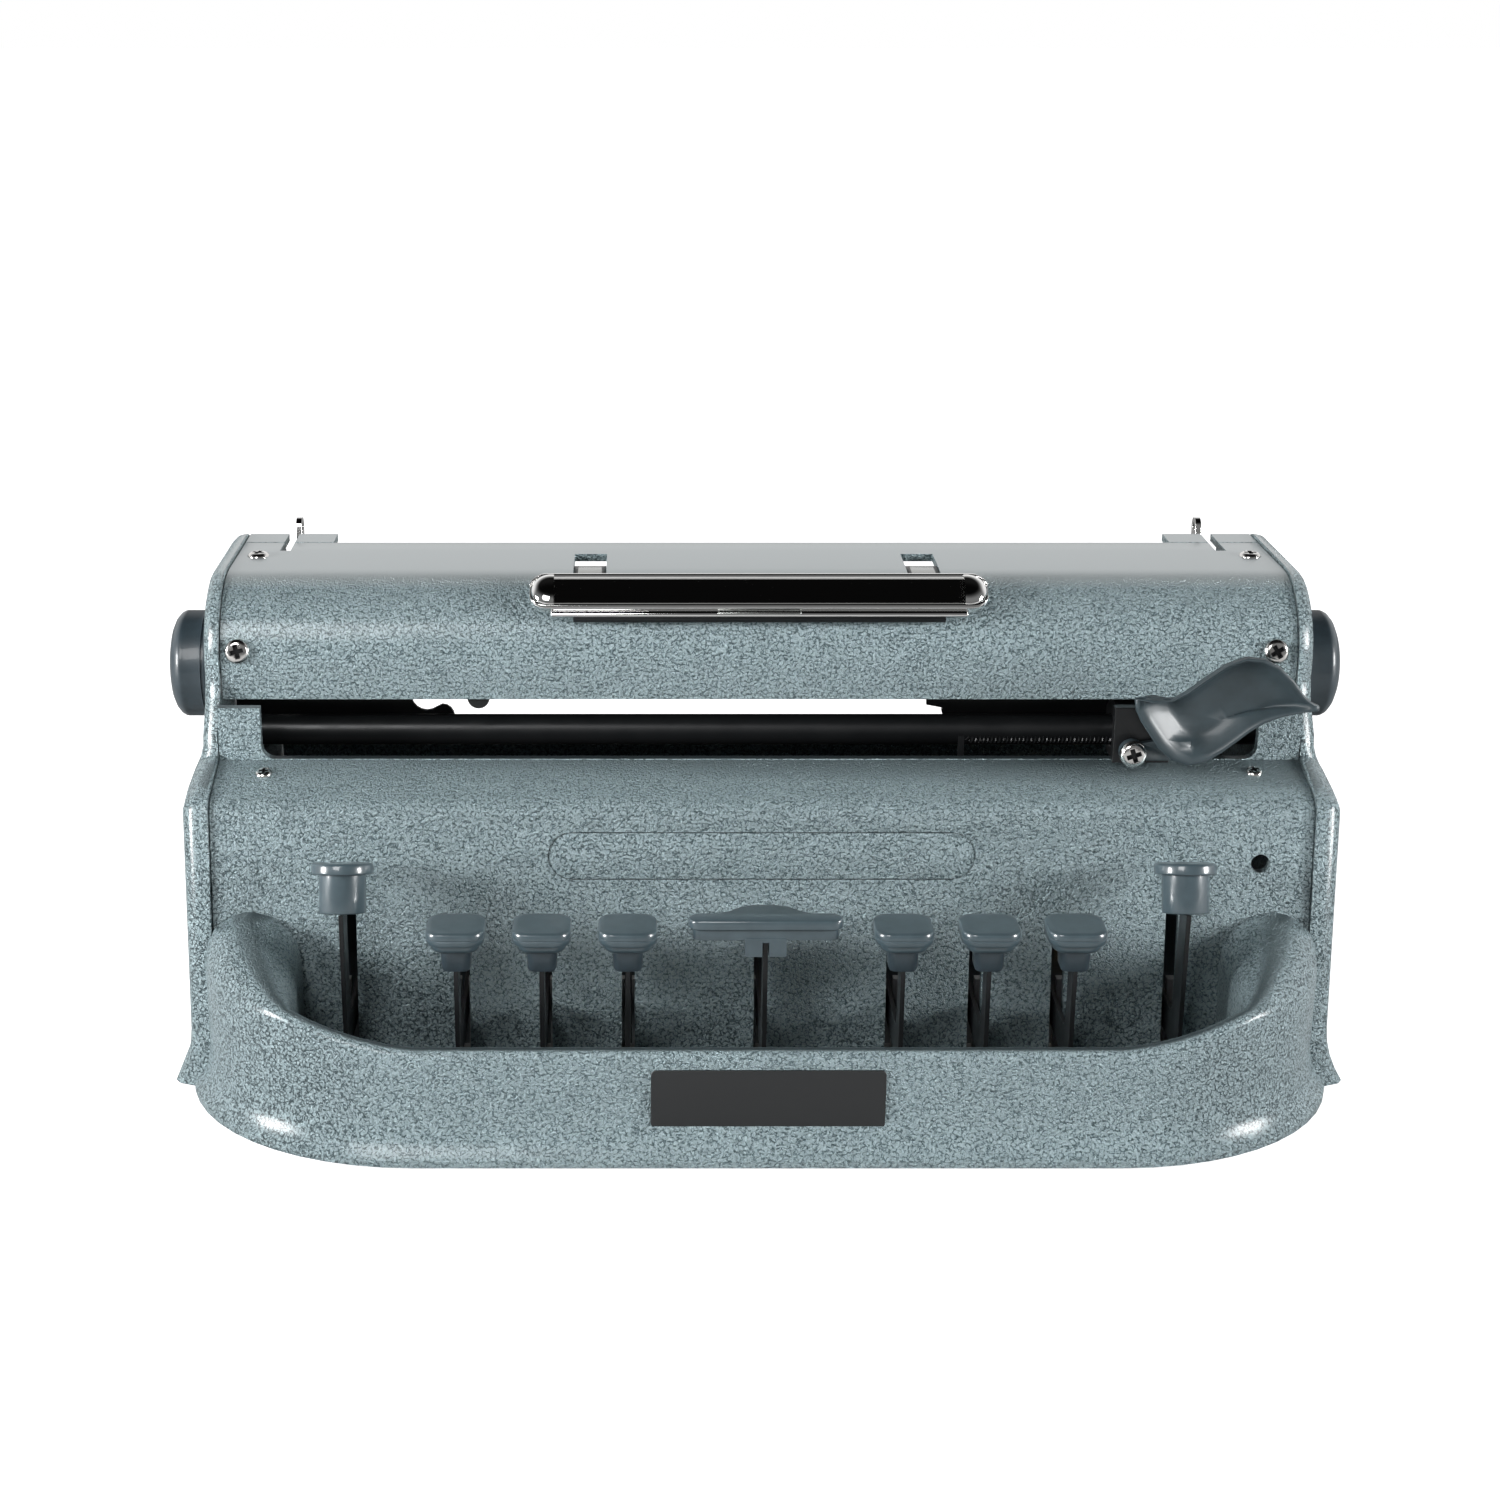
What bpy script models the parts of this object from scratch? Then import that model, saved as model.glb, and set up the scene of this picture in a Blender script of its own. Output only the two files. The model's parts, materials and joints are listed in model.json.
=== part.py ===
"""A six-key braille typewriter with a cast housing, a sliding carriage and a paper roller.

Metres, +Z up, +X to the typist's right, +Y away from the typist. The origin is on the
table, under the middle of the machine's outline.
"""

import math

import bmesh
import bpy
from mathutils import Matrix, Vector

# Fits shared by all pieces
GAP = 0.0003
TURNING_GAP = 0.0004
OVERRUN = 0.004
SEAM = 0.0008
MERGE = 0.0000001
AXES = {"X": Vector((1, 0, 0)), "Y": Vector((0, 1, 0)), "Z": Vector((0, 0, 1))}

# Half-widths of the housing, out from the middle plane
SIDE_INNER = 0.1695
SIDE_WALL = 0.0055
SIDE_STEP = 0.0030
SIDE_FLARE = 0.0055
SIDE_UPPER = SIDE_INNER + SIDE_WALL
SIDE_LOWER = SIDE_UPPER + SIDE_STEP
SIDE_FOOT = SIDE_LOWER + SIDE_FLARE
INSIDE = SIDE_INNER - GAP

# Heights and walls of the castings
UNDERSIDE = 0.0015
FLOOR_LOW = 0.0020
FLOOR_TOP = 0.0050
FRAME_WALL = 0.0030
REAR_Y = 0.1065

# Front panel: sloping face, shelf over it and the frame round the carriage window
PANEL_FOOT_Y = -0.0605
PANEL_FOOT_Z = FLOOR_TOP + GAP + SEAM / 2
PANEL_TOP_Y = -0.0502
PANEL_TOP_Z = 0.0895
SHELF_FRONT_Y = -0.0478
SHELF_FRONT_Z = 0.0921
SHELF_REAR_Y = -0.0262
SHELF_REAR_Z = 0.0982
FRAME_FRONT_Y = -0.0272
FRAME_LOW_Z = 0.0935
FRAME_TOP_Z = 0.1149
WINDOW_POST = 0.0133
WINDOW_HALF = INSIDE - WINDOW_POST
WINDOW_LOW_Z = 0.0982
WINDOW_CORNER_R = 0.0040
RECESS_HALF = 0.0658
RECESS_HEIGHT = 0.0150
RECESS_Z = 0.0752
RECESS_DEPTH = 0.0012
SERVICE_HOLE_X = 0.1533
SERVICE_HOLE_Z = 0.0728
SERVICE_HOLE_R = 0.0029

# Top cover: dome arc, flat roof and ears beside the release levers
DOME_Y = 0.0090
DOME_Z = 0.1250
DOME_R = 0.0250
COVER_WALL = 0.0025
COVER_EDGE_Z = 0.1142
COVER_REAR_Y = 0.0470
COVER_LIP_Z = 0.1440
COVER_LIP_R = 0.0032
EAR_INNER = 0.1397
EAR_REAR_Y = 0.0560
NOTCH_HALF = 0.0017
NOTCH_FRONT_Y = 0.0330
ARM_X = 0.0534
ARM_SLOT_WIDTH = 0.0105
ARM_SLOT_REAR_Y = 0.0285
ARM_SLOT_LOW_Z = 0.1395

# Side panels, drawn as seen from the side
SIDE_PROUD = 0.0011
SIDE_FRONT_Y = -0.0620
SIDE_SHELF_Y = -0.0513
SIDE_SHELF_Z = 0.0898
SIDE_SHELF_TOP_Y = -0.0488
SIDE_SHELF_TOP_Z = 0.0927
SIDE_NECK_Y = -0.0278
SIDE_NECK_Z = 0.0992
SIDE_THROAT_Y = -0.0262
SIDE_THROAT_Z = 0.1060
SIDE_CHIN_Y = -0.0190
SIDE_CHIN_Z = 0.1150
SIDE_REAR_TOP_Y = 0.0500
SIDE_REAR_TOP_R = 0.0140
SIDE_SHOULDER_R = 0.0150
SIDE_SHOULDER_Z = 0.0860
SIDE_ROUNDING = 0.0048
JOGGLE_TOP_Z = 0.1010
JOGGLE_LOW_Z = 0.0915
FLARE_HEIGHT = 0.0170
JOGGLE_STEPS = 3
FLARE_STEPS = 4
SIDE_LEAN = (SIDE_SHELF_Y - SIDE_FRONT_Y) / (SIDE_SHELF_Z - UNDERSIDE)

# Apron round the keys, drawn in plan as two quarter ellipses and a straight front
APRON_CENTRE_X = 0.1040
APRON_CENTRE_Y = -0.0500
APRON_RADIUS_X = 0.0685
APRON_RADIUS_Y = 0.0588
APRON_FLARE = 0.0055
APRON_WALL = 0.0060
APRON_HORN_INNER_X = 0.1420
APRON_RIM_R = 0.0145
APRON_RIM_SHARE = 0.48
APRON_FRONT_HEIGHT = 0.0362
APRON_HORN_RISE = 0.0230
APRON_HORN_POWER = 0.65
APRON_START_DEG = 6
APRON_CORNER_STEPS = 12
APRON_FRONT_STEPS = 4
FLARE_SHARES = ((1.0, 0.0), (1.0, 0.12), (0.55, 0.27), (0.2, 0.5), (0.0, 0.85))

# Rubber feet in pockets under the base
FOOT_R = 0.0090
FOOT_HEIGHT = 0.0032
FOOT_TAPER = 0.0008
FOOT_FRONT_X = 0.1300
FOOT_FRONT_Y = -0.0800
FOOT_REAR_X = 0.1450
FOOT_REAR_Y = 0.0880

# Keys: places along the panel and the heights of their caps
DOT_SPACING = 0.0256
DOT_FIRST_X = 0.0410
SIDE_KEY_X = 0.1270
SLOT_WIDTH = 0.0040
SLOT_LOW_Z = 0.0080
SLOT_TOP_Z = 0.0470
SIDE_SLOT_TOP_Z = 0.0615
LEVER_PLATE = 0.0014
LEVER_LOW_Z = 0.0190
LEVER_HIGH_Z = 0.0290
LEVER_EYE_R = 0.0065
LEVER_FILLET_R = 0.0040
KEY_PIVOT_Y = 0.0600
KEY_PIVOT_Z = 0.0240
KEY_SHAFT_R = 0.0030
STEM_FRONT_Y = -0.0850
STEM_WIDTH = 0.0080
SPACE_STEM_FRONT_Y = -0.0833
SIDE_STEM_FRONT_Y = -0.0760
SIDE_STEM_WIDTH = 0.0100
CAP_Y = -0.0810
CAP_TOP_Z = 0.0651
CAP_HALF_X = 0.0088
CAP_HALF_Y = 0.0087
CAP_DISC = 0.0032
CAP_TIER = 0.0035
CAP_TIER_INSET = 0.0019
CAP_EDGE = 0.0008
CAP_EDGE_SHARE = 0.3
CAP_UNDERCUT = 0.0004
CAP_CORNER_POWER = 0.5
CAP_POINTS = 20
CAP_BLOCK_HALF = 0.0055
CAP_BLOCK_HEIGHT = 0.0072
SPACE_TOP_Z = 0.0675
SPACE_HALF = 0.0230
SPACE_FRONT_Y = -0.0850
SPACE_BACK_Y = -0.0782
SPACE_BULGE_HALF = 0.0140
SPACE_BULGE = 0.0066
SPACE_BULGE_SLOPE = 1.4
SPACE_TIER_INSET = 0.0012
SPACE_BLOCK_HALF = 0.0062
SPACE_BLOCK_FRONT_Y = -0.0840
SPACE_BLOCK_HEIGHT = 0.0053
SIDE_CAP_Y = -0.0660
SIDE_CAP_TOP_Z = 0.0785
SIDE_CAP_R = 0.0094
SIDE_CAP_DISC = 0.0034
SIDE_CAP_BODY_R = 0.0071
SIDE_CAP_BODY = 0.0118
SIDE_CAP_TILT = math.radians(19)

# Comb that guides the key levers behind the panel
COMB_Y = -0.0500
COMB_END = 0.0100
COMB_HALF = SIDE_KEY_X + COMB_END
COMB_LOW_Z = FLOOR_TOP + GAP
COMB_TOP_Z = 0.0330
COMB_SLOT_Z = 0.0095
COMB_SLOT_WIDTH = 0.0022

# Carriage rail, rack and the spring hooked along the rack
RAIL_Y = 0.0
RAIL_Z = 0.0989
RAIL_R = 0.0050
RACK_FRONT_Y = -0.0130
RACK_DEPTH = 0.0040
RACK_LOW_Z = 0.0830
RACK_TOP_Z = 0.0895
RACK_HALF = 0.1320
CELL_PITCH = 0.0062
RACK_TOOTH = 0.0012
SPRING_LEFT_X = 0.0665
SPRING_PITCH = 0.00126
SPRING_CURLS = 36
SPRING_R = 0.00095
SPRING_WIRE_R = 0.00026
SPRING_Z = 0.0990
SPRING_LUG = 0.0018
SPRING_LUG_TOP_Z = 0.1005
CURL_POINTS = 8

# Carriage, its embossing head and the hand lever in front
CARRIAGE_LEFT_X = 0.1150
CARRIAGE_RIGHT_X = 0.1500
CARRIAGE_FRONT_Y = -0.0083
CARRIAGE_TOP_Z = 0.1095
CARRIAGE_TOP_REAR_Y = 0.0020
CARRIAGE_SHOULDER_Y = 0.0082
CARRIAGE_SHOULDER_Z = 0.1045
CARRIAGE_ARM_TOP_Z = 0.0988
CARRIAGE_ARM_REAR_Y = 0.0230
CARRIAGE_ARM_LOW_Z = 0.0930
CARRIAGE_LOW_Z = 0.0902
CARRIAGE_LOW_HALF = 0.0040
PAWL_LEFT_X = 0.1190
PAWL_WIDTH = 0.0030
PAWL_TIP_Y = -0.0078
PAWL_LOW_Z = 0.0850
HEAD_LEFT_X = 0.1200
HEAD_RIGHT_X = 0.1380
HEAD_FRONT_Y = 0.0075
HEAD_LOW_Z = 0.0800
HEAD_WAIST = 0.0030
BRACKET_LEFT_X = 0.1094
BRACKET_RIGHT_X = 0.1270
BRACKET_FRONT_Y = -0.0340
BRACKET_PLATE = 0.0034
BRACKET_LOW_Z = 0.0992
BRACKET_TOP_Z = 0.1172
BRACKET_ARM_LOW_Z = 0.1045
BRACKET_ARM_TOP_Z = 0.1085
HAND_PIVOT_X = 0.1150
HAND_PIVOT_Z = 0.1034
HAND_PIN_R = 0.0018
HAND_PIN = 0.0032
HAND_BOSS_R = 0.0040
HAND_BOSS = 0.0028
HAND_CENTRE_X = 0.1414
HAND_CENTRE_Z = 0.1188
HAND_HALF_LENGTH = 0.0281
HAND_HALF_HEIGHT = 0.0173
HAND_RIM_Y = -0.0442
HAND_RIM = 0.0024
HAND_DISH = 0.0060
HAND_WALL = 0.0024
HAND_TANG_HALF = 0.0026
HAND_TANG_END_X = 0.1290
HAND_NECK_Y = -0.0415
HAND_SLIDE_SHARES = ((0.08, 0.45), (-0.25, -0.28))
HAND_OUTLINE_SHARES = (
    (-1.00, 0.24), (-0.82, 0.18), (-0.63, 0.20), (-0.45, 0.37), (-0.24, 0.64), (-0.03, 0.88),
    (0.18, 1.00), (0.37, 0.97), (0.54, 0.83), (0.71, 0.56), (0.84, 0.28), (0.92, 0.17), (1.00, 0.11),
    (1.00, 0.03), (0.82, -0.01), (0.59, -0.09), (0.42, -0.20), (0.27, -0.36), (0.13, -0.55),
    (-0.02, -0.75), (-0.18, -0.92), (-0.38, -1.00), (-0.57, -0.89), (-0.72, -0.66),
    (-0.83, -0.40), (-0.92, -0.18), (-0.98, 0.02),
)
HAND_EDGE_SHARES = (0.98, 0.0, 0.0)
HAND_RING_SHARES = (
    (0.92, 0.03, 0.0), (0.87, 0.22, 0.1), (0.76, 0.52, 0.3), (0.58, 0.82, 0.6), (0.32, 1.0, 1.0),
)

# Paper roller, its shaft, knobs and ratchet
ROLLER_Y = 0.0200
ROLLER_Z = 0.1153
ROLLER_R = 0.0118
ROLLER_END_SPACE = 0.0195
ROLLER_HALF = SIDE_INNER - ROLLER_END_SPACE
ROLLER_CHAMFER = 0.0010
SHAFT_R = 0.0038
KNOB_CLEARANCE = 0.0013
KNOB_LENGTH = 0.0142
KNOB_ROUNDING = 0.0045
KNOB_FACE_WALL = 0.0055
KNOB_INNER_X = SIDE_UPPER + KNOB_CLEARANCE
KNOB_FACE_X = KNOB_INNER_X + KNOB_LENGTH
SHAFT_HALF = KNOB_FACE_X - KNOB_FACE_WALL
KNOB_R = 0.0174
KNOB_CHAMFER = 0.0009
KNOB_BARREL_X = KNOB_FACE_X - KNOB_ROUNDING
KNOB_STEPS = 56
KNOB_ROUND_SHARES = ((0.93, 0.55), (0.80, 0.86), (0.58, 1.0))
RATCHET_WIDTH = 0.0040
RATCHET_CLEARANCE = 0.0070
RATCHET_LEFT_X = -ROLLER_HALF - RATCHET_CLEARANCE - RATCHET_WIDTH
RATCHET_R = 0.0118
RATCHET_TOOTH = 0.0016
RATCHET_TEETH = 24
RATCHET_STEEP_SHARE = 0.12

# Paper table, roller guides and rear panel
TABLE_FRONT_Y = 0.0340
TABLE_FRONT_Z = 0.0905
TABLE_REAR_Y = 0.1025
TABLE_REAR_Z = 0.0684
TABLE_SHEET = 0.0016
TABLE_LIP = 0.0060
GUIDE_FRONT_Y = 0.0090
GUIDE_SHEET = 0.0016
GUIDE_LOW_Z = 0.1003
GUIDE_TOP_Z = 0.1070
LEFT_GUIDE_END_X = -0.1120
RIGHT_GUIDE_END_X = 0.0563
GUIDE_DIP_R = 0.0050
GUIDE_DIP_SHARE = 0.6
GUIDE_BUMP_R = 0.0040
GUIDE_STEP = 0.0070
REAR_PANEL_TOP_Z = 0.0650

# Paper release levers on pins of the side panels
RELEASE_X = 0.1544
RELEASE_PLATE = 0.0020
RELEASE_Y = 0.0640
RELEASE_Z = 0.1120
RELEASE_EYE_R = 0.0048
RELEASE_PIN_R = 0.0023
RELEASE_PIN_END = 0.0016
RELEASE_TIP_Y = 0.0700
RELEASE_TIP_Z = 0.1492
RELEASE_TIP_R = 0.0032
RELEASE_HOLE_R = 0.0014

# Reading rest: a folded bar on two arms that swing on a short shaft
REST_PIVOT_Y = 0.0195
REST_PIVOT_Z = 0.1432
REST_SHAFT_R = 0.0016
REST_EYE_R = 0.0032
REST_LUG = 0.0020
REST_LUG_HALF = 0.0045
REST_LUG_TIP_HALF = 0.0030
REST_LUG_DROP = 0.0028
REST_HALF = 0.0723
REST_END_R = 0.0055
REST_ANGLE = math.radians(129)
REST_BACK_R = 0.0264
ARM_WIDTH = 0.0077
ARM_SHEET = 0.0015
ARM_SUNK = 0.0003
ARM_FLAT_Y = 0.0145
ARM_BEND_SHARES = ((0.38, 0.80), (0.78, 0.35), (0.85, 0.0))
REST_TURNS = [math.radians(18 * i) for i in range(5)]
REST_BAR_LENGTH = 0.0066
REST_BAR_SHARES = (
    (-1.0, 0.0), (0.9, 0.0), (1.05, 0.13), (1.05, 0.5), (0.93, 0.6), (0.76, 0.55), (0.67, 0.3),
    (-0.80, 0.3), (-0.87, 0.42), (-1.0, 0.46), (-1.12, 0.36), (-1.12, 0.12),
)

# Margin bar with two stops, and the folding handle, at the back
MARGIN_HALF = 0.1480
MARGIN_LOW_Z = 0.0560
MARGIN_TOP_Z = 0.0600
MARGIN_DEPTH = 0.0030
STOP_WIDTH = 0.0100
STOP_SHEET = 0.0020
STOP_TAB = 0.0030
STOP_INSET = 0.0230
STOP_X = MARGIN_HALF - STOP_INSET
HANDLE_Y = 0.1106
HANDLE_Z = 0.0460
HANDLE_HALF = 0.0580
HANDLE_LEG = 0.0300
HANDLE_LEG_WIDTH = 0.0040
HANDLE_EYE_R = 0.0037
HANDLE_PIN_R = 0.0016
HANDLE_ROD_R = 0.0018
GRIP_R = 0.0037
GRIP_CLEARANCE = 0.0050
GRIP_HALF = HANDLE_HALF - GRIP_CLEARANCE
GRIP_WAIST = 0.0007
EAR_PLATE = 0.0030
EAR_DROP = 0.0036

# Line-end bell and its hammer
BELL_X = 0.1200
BELL_Y = 0.0840
BELL_R = 0.0130
BELL_RIM_Z = 0.0380
BELL_CROWN = 0.0110
BELL_WALL = 0.0012
BELL_STEM_R = 0.0030
HAMMER_Y = 0.0690
HAMMER_POST_R = 0.0020
HAMMER_POST_TOP_Z = 0.0450
HAMMER_EYE_R = 0.0040
HAMMER_LOW_Z = 0.0375
HAMMER_HIGH_Z = 0.0415
HAMMER_BALL_R = 0.0024
HAMMER_MISS = 0.0010
HAMMER_ARM_HALF = 0.0010

# Colours, roughness and metallic value of each finish
FINISHES = {
    "hammered_grey": (0.22, 0.29, 0.31, 0.38, 0.35),
    "slate_plastic": (0.065, 0.10, 0.13, 0.42, 0.0),
    "black_steel": (0.012, 0.013, 0.014, 0.35, 0.4),
    "bright_chrome": (0.78, 0.78, 0.77, 0.10, 1.0),
    "zinc_steel": (0.42, 0.43, 0.43, 0.35, 0.9),
    "black_rubber": (0.012, 0.012, 0.012, 0.85, 0.0),
    "brass": (0.60, 0.45, 0.20, 0.28, 1.0),
}


def clear_scene():
    for item in list(bpy.data.objects):
        bpy.data.objects.remove(item)


def finish_of(name, finish):
    red, green, blue, roughness, metallic = FINISHES[finish]
    material = bpy.data.materials.new(f"{name}_{finish}")
    material.use_nodes = True
    shader = material.node_tree.nodes["Principled BSDF"]
    shader.inputs["Base Color"].default_value = (red, green, blue, 1)
    shader.inputs["Roughness"].default_value = roughness
    shader.inputs["Metallic"].default_value = metallic
    material.diffuse_color = (red, green, blue, 1)
    return material


def place_of(holder):
    """Where a joint's empty stands in the world."""
    place = Vector((0, 0, 0))
    while holder:
        place += holder.location
        holder = holder.parent
    return place


def joint_empty(name, point, parent=None):
    """An empty on a joint's axis, which the pieces that move there are parented to."""
    empty = bpy.data.objects.new(name, None)
    bpy.context.scene.collection.objects.link(empty)
    empty.location = Vector(point) - place_of(parent)
    empty.parent = parent
    return empty


def make_object(name, bm, holder=None):
    bmesh.ops.remove_doubles(bm, verts=bm.verts, dist=MERGE)
    bmesh.ops.recalc_face_normals(bm, faces=bm.faces)
    bmesh.ops.translate(bm, verts=bm.verts, vec=-place_of(holder))
    mesh = bpy.data.meshes.new(name)
    bm.to_mesh(mesh)
    bm.free()
    item = bpy.data.objects.new(name, mesh)
    bpy.context.scene.collection.objects.link(item)
    item.parent = holder
    return item


def piece(name, bm, finish, holder=None):
    """One finished sub-part, shaded smooth with its sharp edges kept."""
    item = make_object(name, bm, holder)
    item.data.materials.append(finish_of(name, finish))
    item.data.shade_smooth()
    item.data.set_sharp_from_angle(angle=math.radians(35))
    return item


def boolean(item, bm, name, operation):
    tool = make_object(name, bm)
    tool.hide_render = True
    tool.display_type = "WIRE"
    modifier = item.modifiers.new(name, "BOOLEAN")
    modifier.operation = operation
    modifier.solver = "EXACT"
    modifier.object = tool


def cut(item, bm, name):
    boolean(item, bm, name + "_cutter", "DIFFERENCE")


def join(item, bm, name):
    boolean(item, bm, name + "_join", "UNION")


def spot(axis, along, u, v):
    """A point given by its place along an axis and its two other coordinates, in X, Y, Z order."""
    return {"X": (along, u, v), "Y": (u, along, v), "Z": (u, v, along)}[axis]


def prism(bm, outline, axis, low, high):
    """A closed outline run straight along an axis."""
    face = bm.faces.new([bm.verts.new(spot(axis, low, u, v)) for u, v in outline])
    made = bmesh.ops.extrude_face_region(bm, geom=[face])
    moved = [item for item in made["geom"] if isinstance(item, bmesh.types.BMVert)]
    bmesh.ops.translate(bm, verts=moved, vec=AXES[axis] * (high - low))
    return moved


def box(bm, low, high):
    outline = [(low[0], low[1]), (high[0], low[1]), (high[0], high[1]), (low[0], high[1])]
    prism(bm, outline, "Z", low[2], high[2])


def turned(bm, profile, axis, centre, count, closed=False):
    """A profile of (radius, place along the axis) spun round the axis through centre."""
    u, v = centre
    verts = [bm.verts.new(spot(axis, along, u, v + radius)) for radius, along in profile]
    edges = [bm.edges.new(pair) for pair in zip(verts, verts[1:])]
    if closed:
        edges.append(bm.edges.new((verts[-1], verts[0])))
    bmesh.ops.spin(bm, geom=verts + edges, cent=spot(axis, 0, u, v), axis=AXES[axis],
                   angle=math.tau, steps=count, use_merge=True)
    bmesh.ops.remove_doubles(bm, verts=bm.verts, dist=MERGE)


def rod(bm, radius, axis, centre, low, high, count=24):
    turned(bm, [(0, low), (radius, low), (radius, high), (0, high)], axis, centre, count)


def arc(centre_u, centre_v, radius, start_deg, end_deg, steps):
    """Points on an arc, both ends among them."""
    angles = [math.radians(start_deg + (end_deg - start_deg) * i / steps) for i in range(steps + 1)]
    return [(centre_u + radius * math.cos(angle), centre_v + radius * math.sin(angle)) for angle in angles]


def ribbon(path, thickness):
    """The closed outline of a bent sheet: a path, and back along its parallel on the path's right."""
    points = [Vector(point) for point in path]
    runs = [(after - before).normalized() for before, after in zip(points, points[1:])]
    inner = []
    for i, point in enumerate(points):
        before = runs[max(i - 1, 0)]
        after = runs[min(i, len(runs) - 1)]
        right = Vector((before.y + after.y, -before.x - after.x)).normalized()
        inner.append(tuple(point + right * thickness / right.dot(Vector((after.y, -after.x)))))
    return list(path) + inner[::-1]


def link_outline(start, start_r, end, end_r, steps=8):
    """The outline of a flat link: two round ends joined by their tangents."""
    along = Vector(end) - Vector(start)
    heading = math.degrees(math.atan2(along.y, along.x))
    lean = math.degrees(math.asin((start_r - end_r) / along.length))
    turn = 90 - lean
    points = arc(*end, end_r, heading - turn, heading + turn, steps)
    return points + arc(*start, start_r, heading + turn, heading + 360 - turn, steps)


def smooth(share):
    """An even ease from 0 to 1."""
    share = min(max(share, 0), 1)
    return share * share * (3 - 2 * share)


def dome_arc(radius, start_deg, end_deg, steps):
    return arc(DOME_Y, DOME_Z, radius, start_deg, end_deg, steps)


def panel_y(z):
    """Depth of the front panel's outer face at a height."""
    share = (z - PANEL_FOOT_Z) / (PANEL_TOP_Z - PANEL_FOOT_Z)
    return PANEL_FOOT_Y + (PANEL_TOP_Y - PANEL_FOOT_Y) * share


def side_outline():
    dome = DOME_R + SIDE_PROUD
    points = [(SIDE_FRONT_Y, UNDERSIDE), (SIDE_SHELF_Y, SIDE_SHELF_Z), (SIDE_SHELF_TOP_Y, SIDE_SHELF_TOP_Z)]
    points += [(SIDE_NECK_Y, SIDE_NECK_Z), (SIDE_THROAT_Y, SIDE_THROAT_Z), (SIDE_CHIN_Y, SIDE_CHIN_Z)]
    points += dome_arc(dome, 188, 90, 8)
    points += arc(SIDE_REAR_TOP_Y, DOME_Z + dome - SIDE_REAR_TOP_R, SIDE_REAR_TOP_R, 90, 40, 4)
    points += arc(REAR_Y - SIDE_SHOULDER_R, SIDE_SHOULDER_Z, SIDE_SHOULDER_R, 40, 0, 3)
    return points + [(REAR_Y, UNDERSIDE)]


def side_thickness(z):
    """Wall of a side panel at a height: thin by the cover, thicker by the keys, flared at the foot."""
    wall = SIDE_UPPER - SIDE_INNER
    wall += (SIDE_LOWER - SIDE_UPPER) * smooth((JOGGLE_TOP_Z - z) / (JOGGLE_TOP_Z - JOGGLE_LOW_Z))
    down = 1 - (z - UNDERSIDE) / FLARE_HEIGHT
    return wall + (SIDE_FOOT - SIDE_LOWER) * max(down, 0) ** 2


def side_panel(name, side):
    bm = bmesh.new()
    outer = set(prism(bm, side_outline(), "X", SIDE_INNER, SIDE_UPPER))
    rim = [edge for edge in bm.edges if outer.issuperset(edge.verts)]
    rim = [edge for edge in rim if max(vert.co.z for vert in edge.verts) > UNDERSIDE + GAP]
    bmesh.ops.bevel(bm, geom=rim, offset=SIDE_ROUNDING, segments=3, profile=0.5, affect="EDGES", material=-1)
    joggle = (JOGGLE_TOP_Z - JOGGLE_LOW_Z) / JOGGLE_STEPS
    levels = [JOGGLE_LOW_Z + joggle * i for i in range(JOGGLE_STEPS + 1)]
    levels += [UNDERSIDE + FLARE_HEIGHT * (i + 1) / FLARE_STEPS for i in range(FLARE_STEPS)]
    for level in levels:
        geometry = bm.verts[:] + bm.edges[:] + bm.faces[:]
        bmesh.ops.bisect_plane(bm, geom=geometry, plane_co=(0, 0, level), plane_no=(0, 0, 1))
    plain = SIDE_UPPER - SIDE_INNER
    for vert in bm.verts:
        vert.co.x = side * (SIDE_INNER + (vert.co.x - SIDE_INNER) * side_thickness(vert.co.z) / plain)
    panel = piece(name, bm, "hammered_grey")
    boss = bmesh.new()
    collar = RELEASE_X + RELEASE_PLATE / 2 + GAP
    pin_end = RELEASE_X - RELEASE_PLATE / 2 - RELEASE_PIN_END
    root = SIDE_INNER + FRAME_WALL
    profile = [(0, root), (RELEASE_EYE_R, root), (RELEASE_EYE_R, collar)]
    profile += [(RELEASE_PIN_R, collar), (RELEASE_PIN_R, pin_end), (0, pin_end)]
    turned(boss, [(radius, side * along) for radius, along in profile], "X", (RELEASE_Y, RELEASE_Z), 20)
    join(panel, boss, name + "_pin")
    hole = bmesh.new()
    ends = sorted((side * (SIDE_INNER - OVERRUN), side * (SIDE_FOOT + OVERRUN)))
    rod(hole, SHAFT_R + TURNING_GAP, "X", (ROLLER_Y, ROLLER_Z), *ends)
    cut(panel, hole, name + "_shaft_hole")


def key_places():
    """The nine keys from left to right: name, place across the machine and kind."""
    dots = [DOT_FIRST_X + DOT_SPACING * i for i in range(3)]
    keys = [("line_space", -SIDE_KEY_X, "side")]
    keys += [(f"dot_{3 - i}", -dots[2 - i], "dot") for i in range(3)]
    keys += [("space", 0, "space")]
    keys += [(f"dot_{4 + i}", dots[i], "dot") for i in range(3)]
    return keys + [("backspace", SIDE_KEY_X, "side")]


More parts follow.
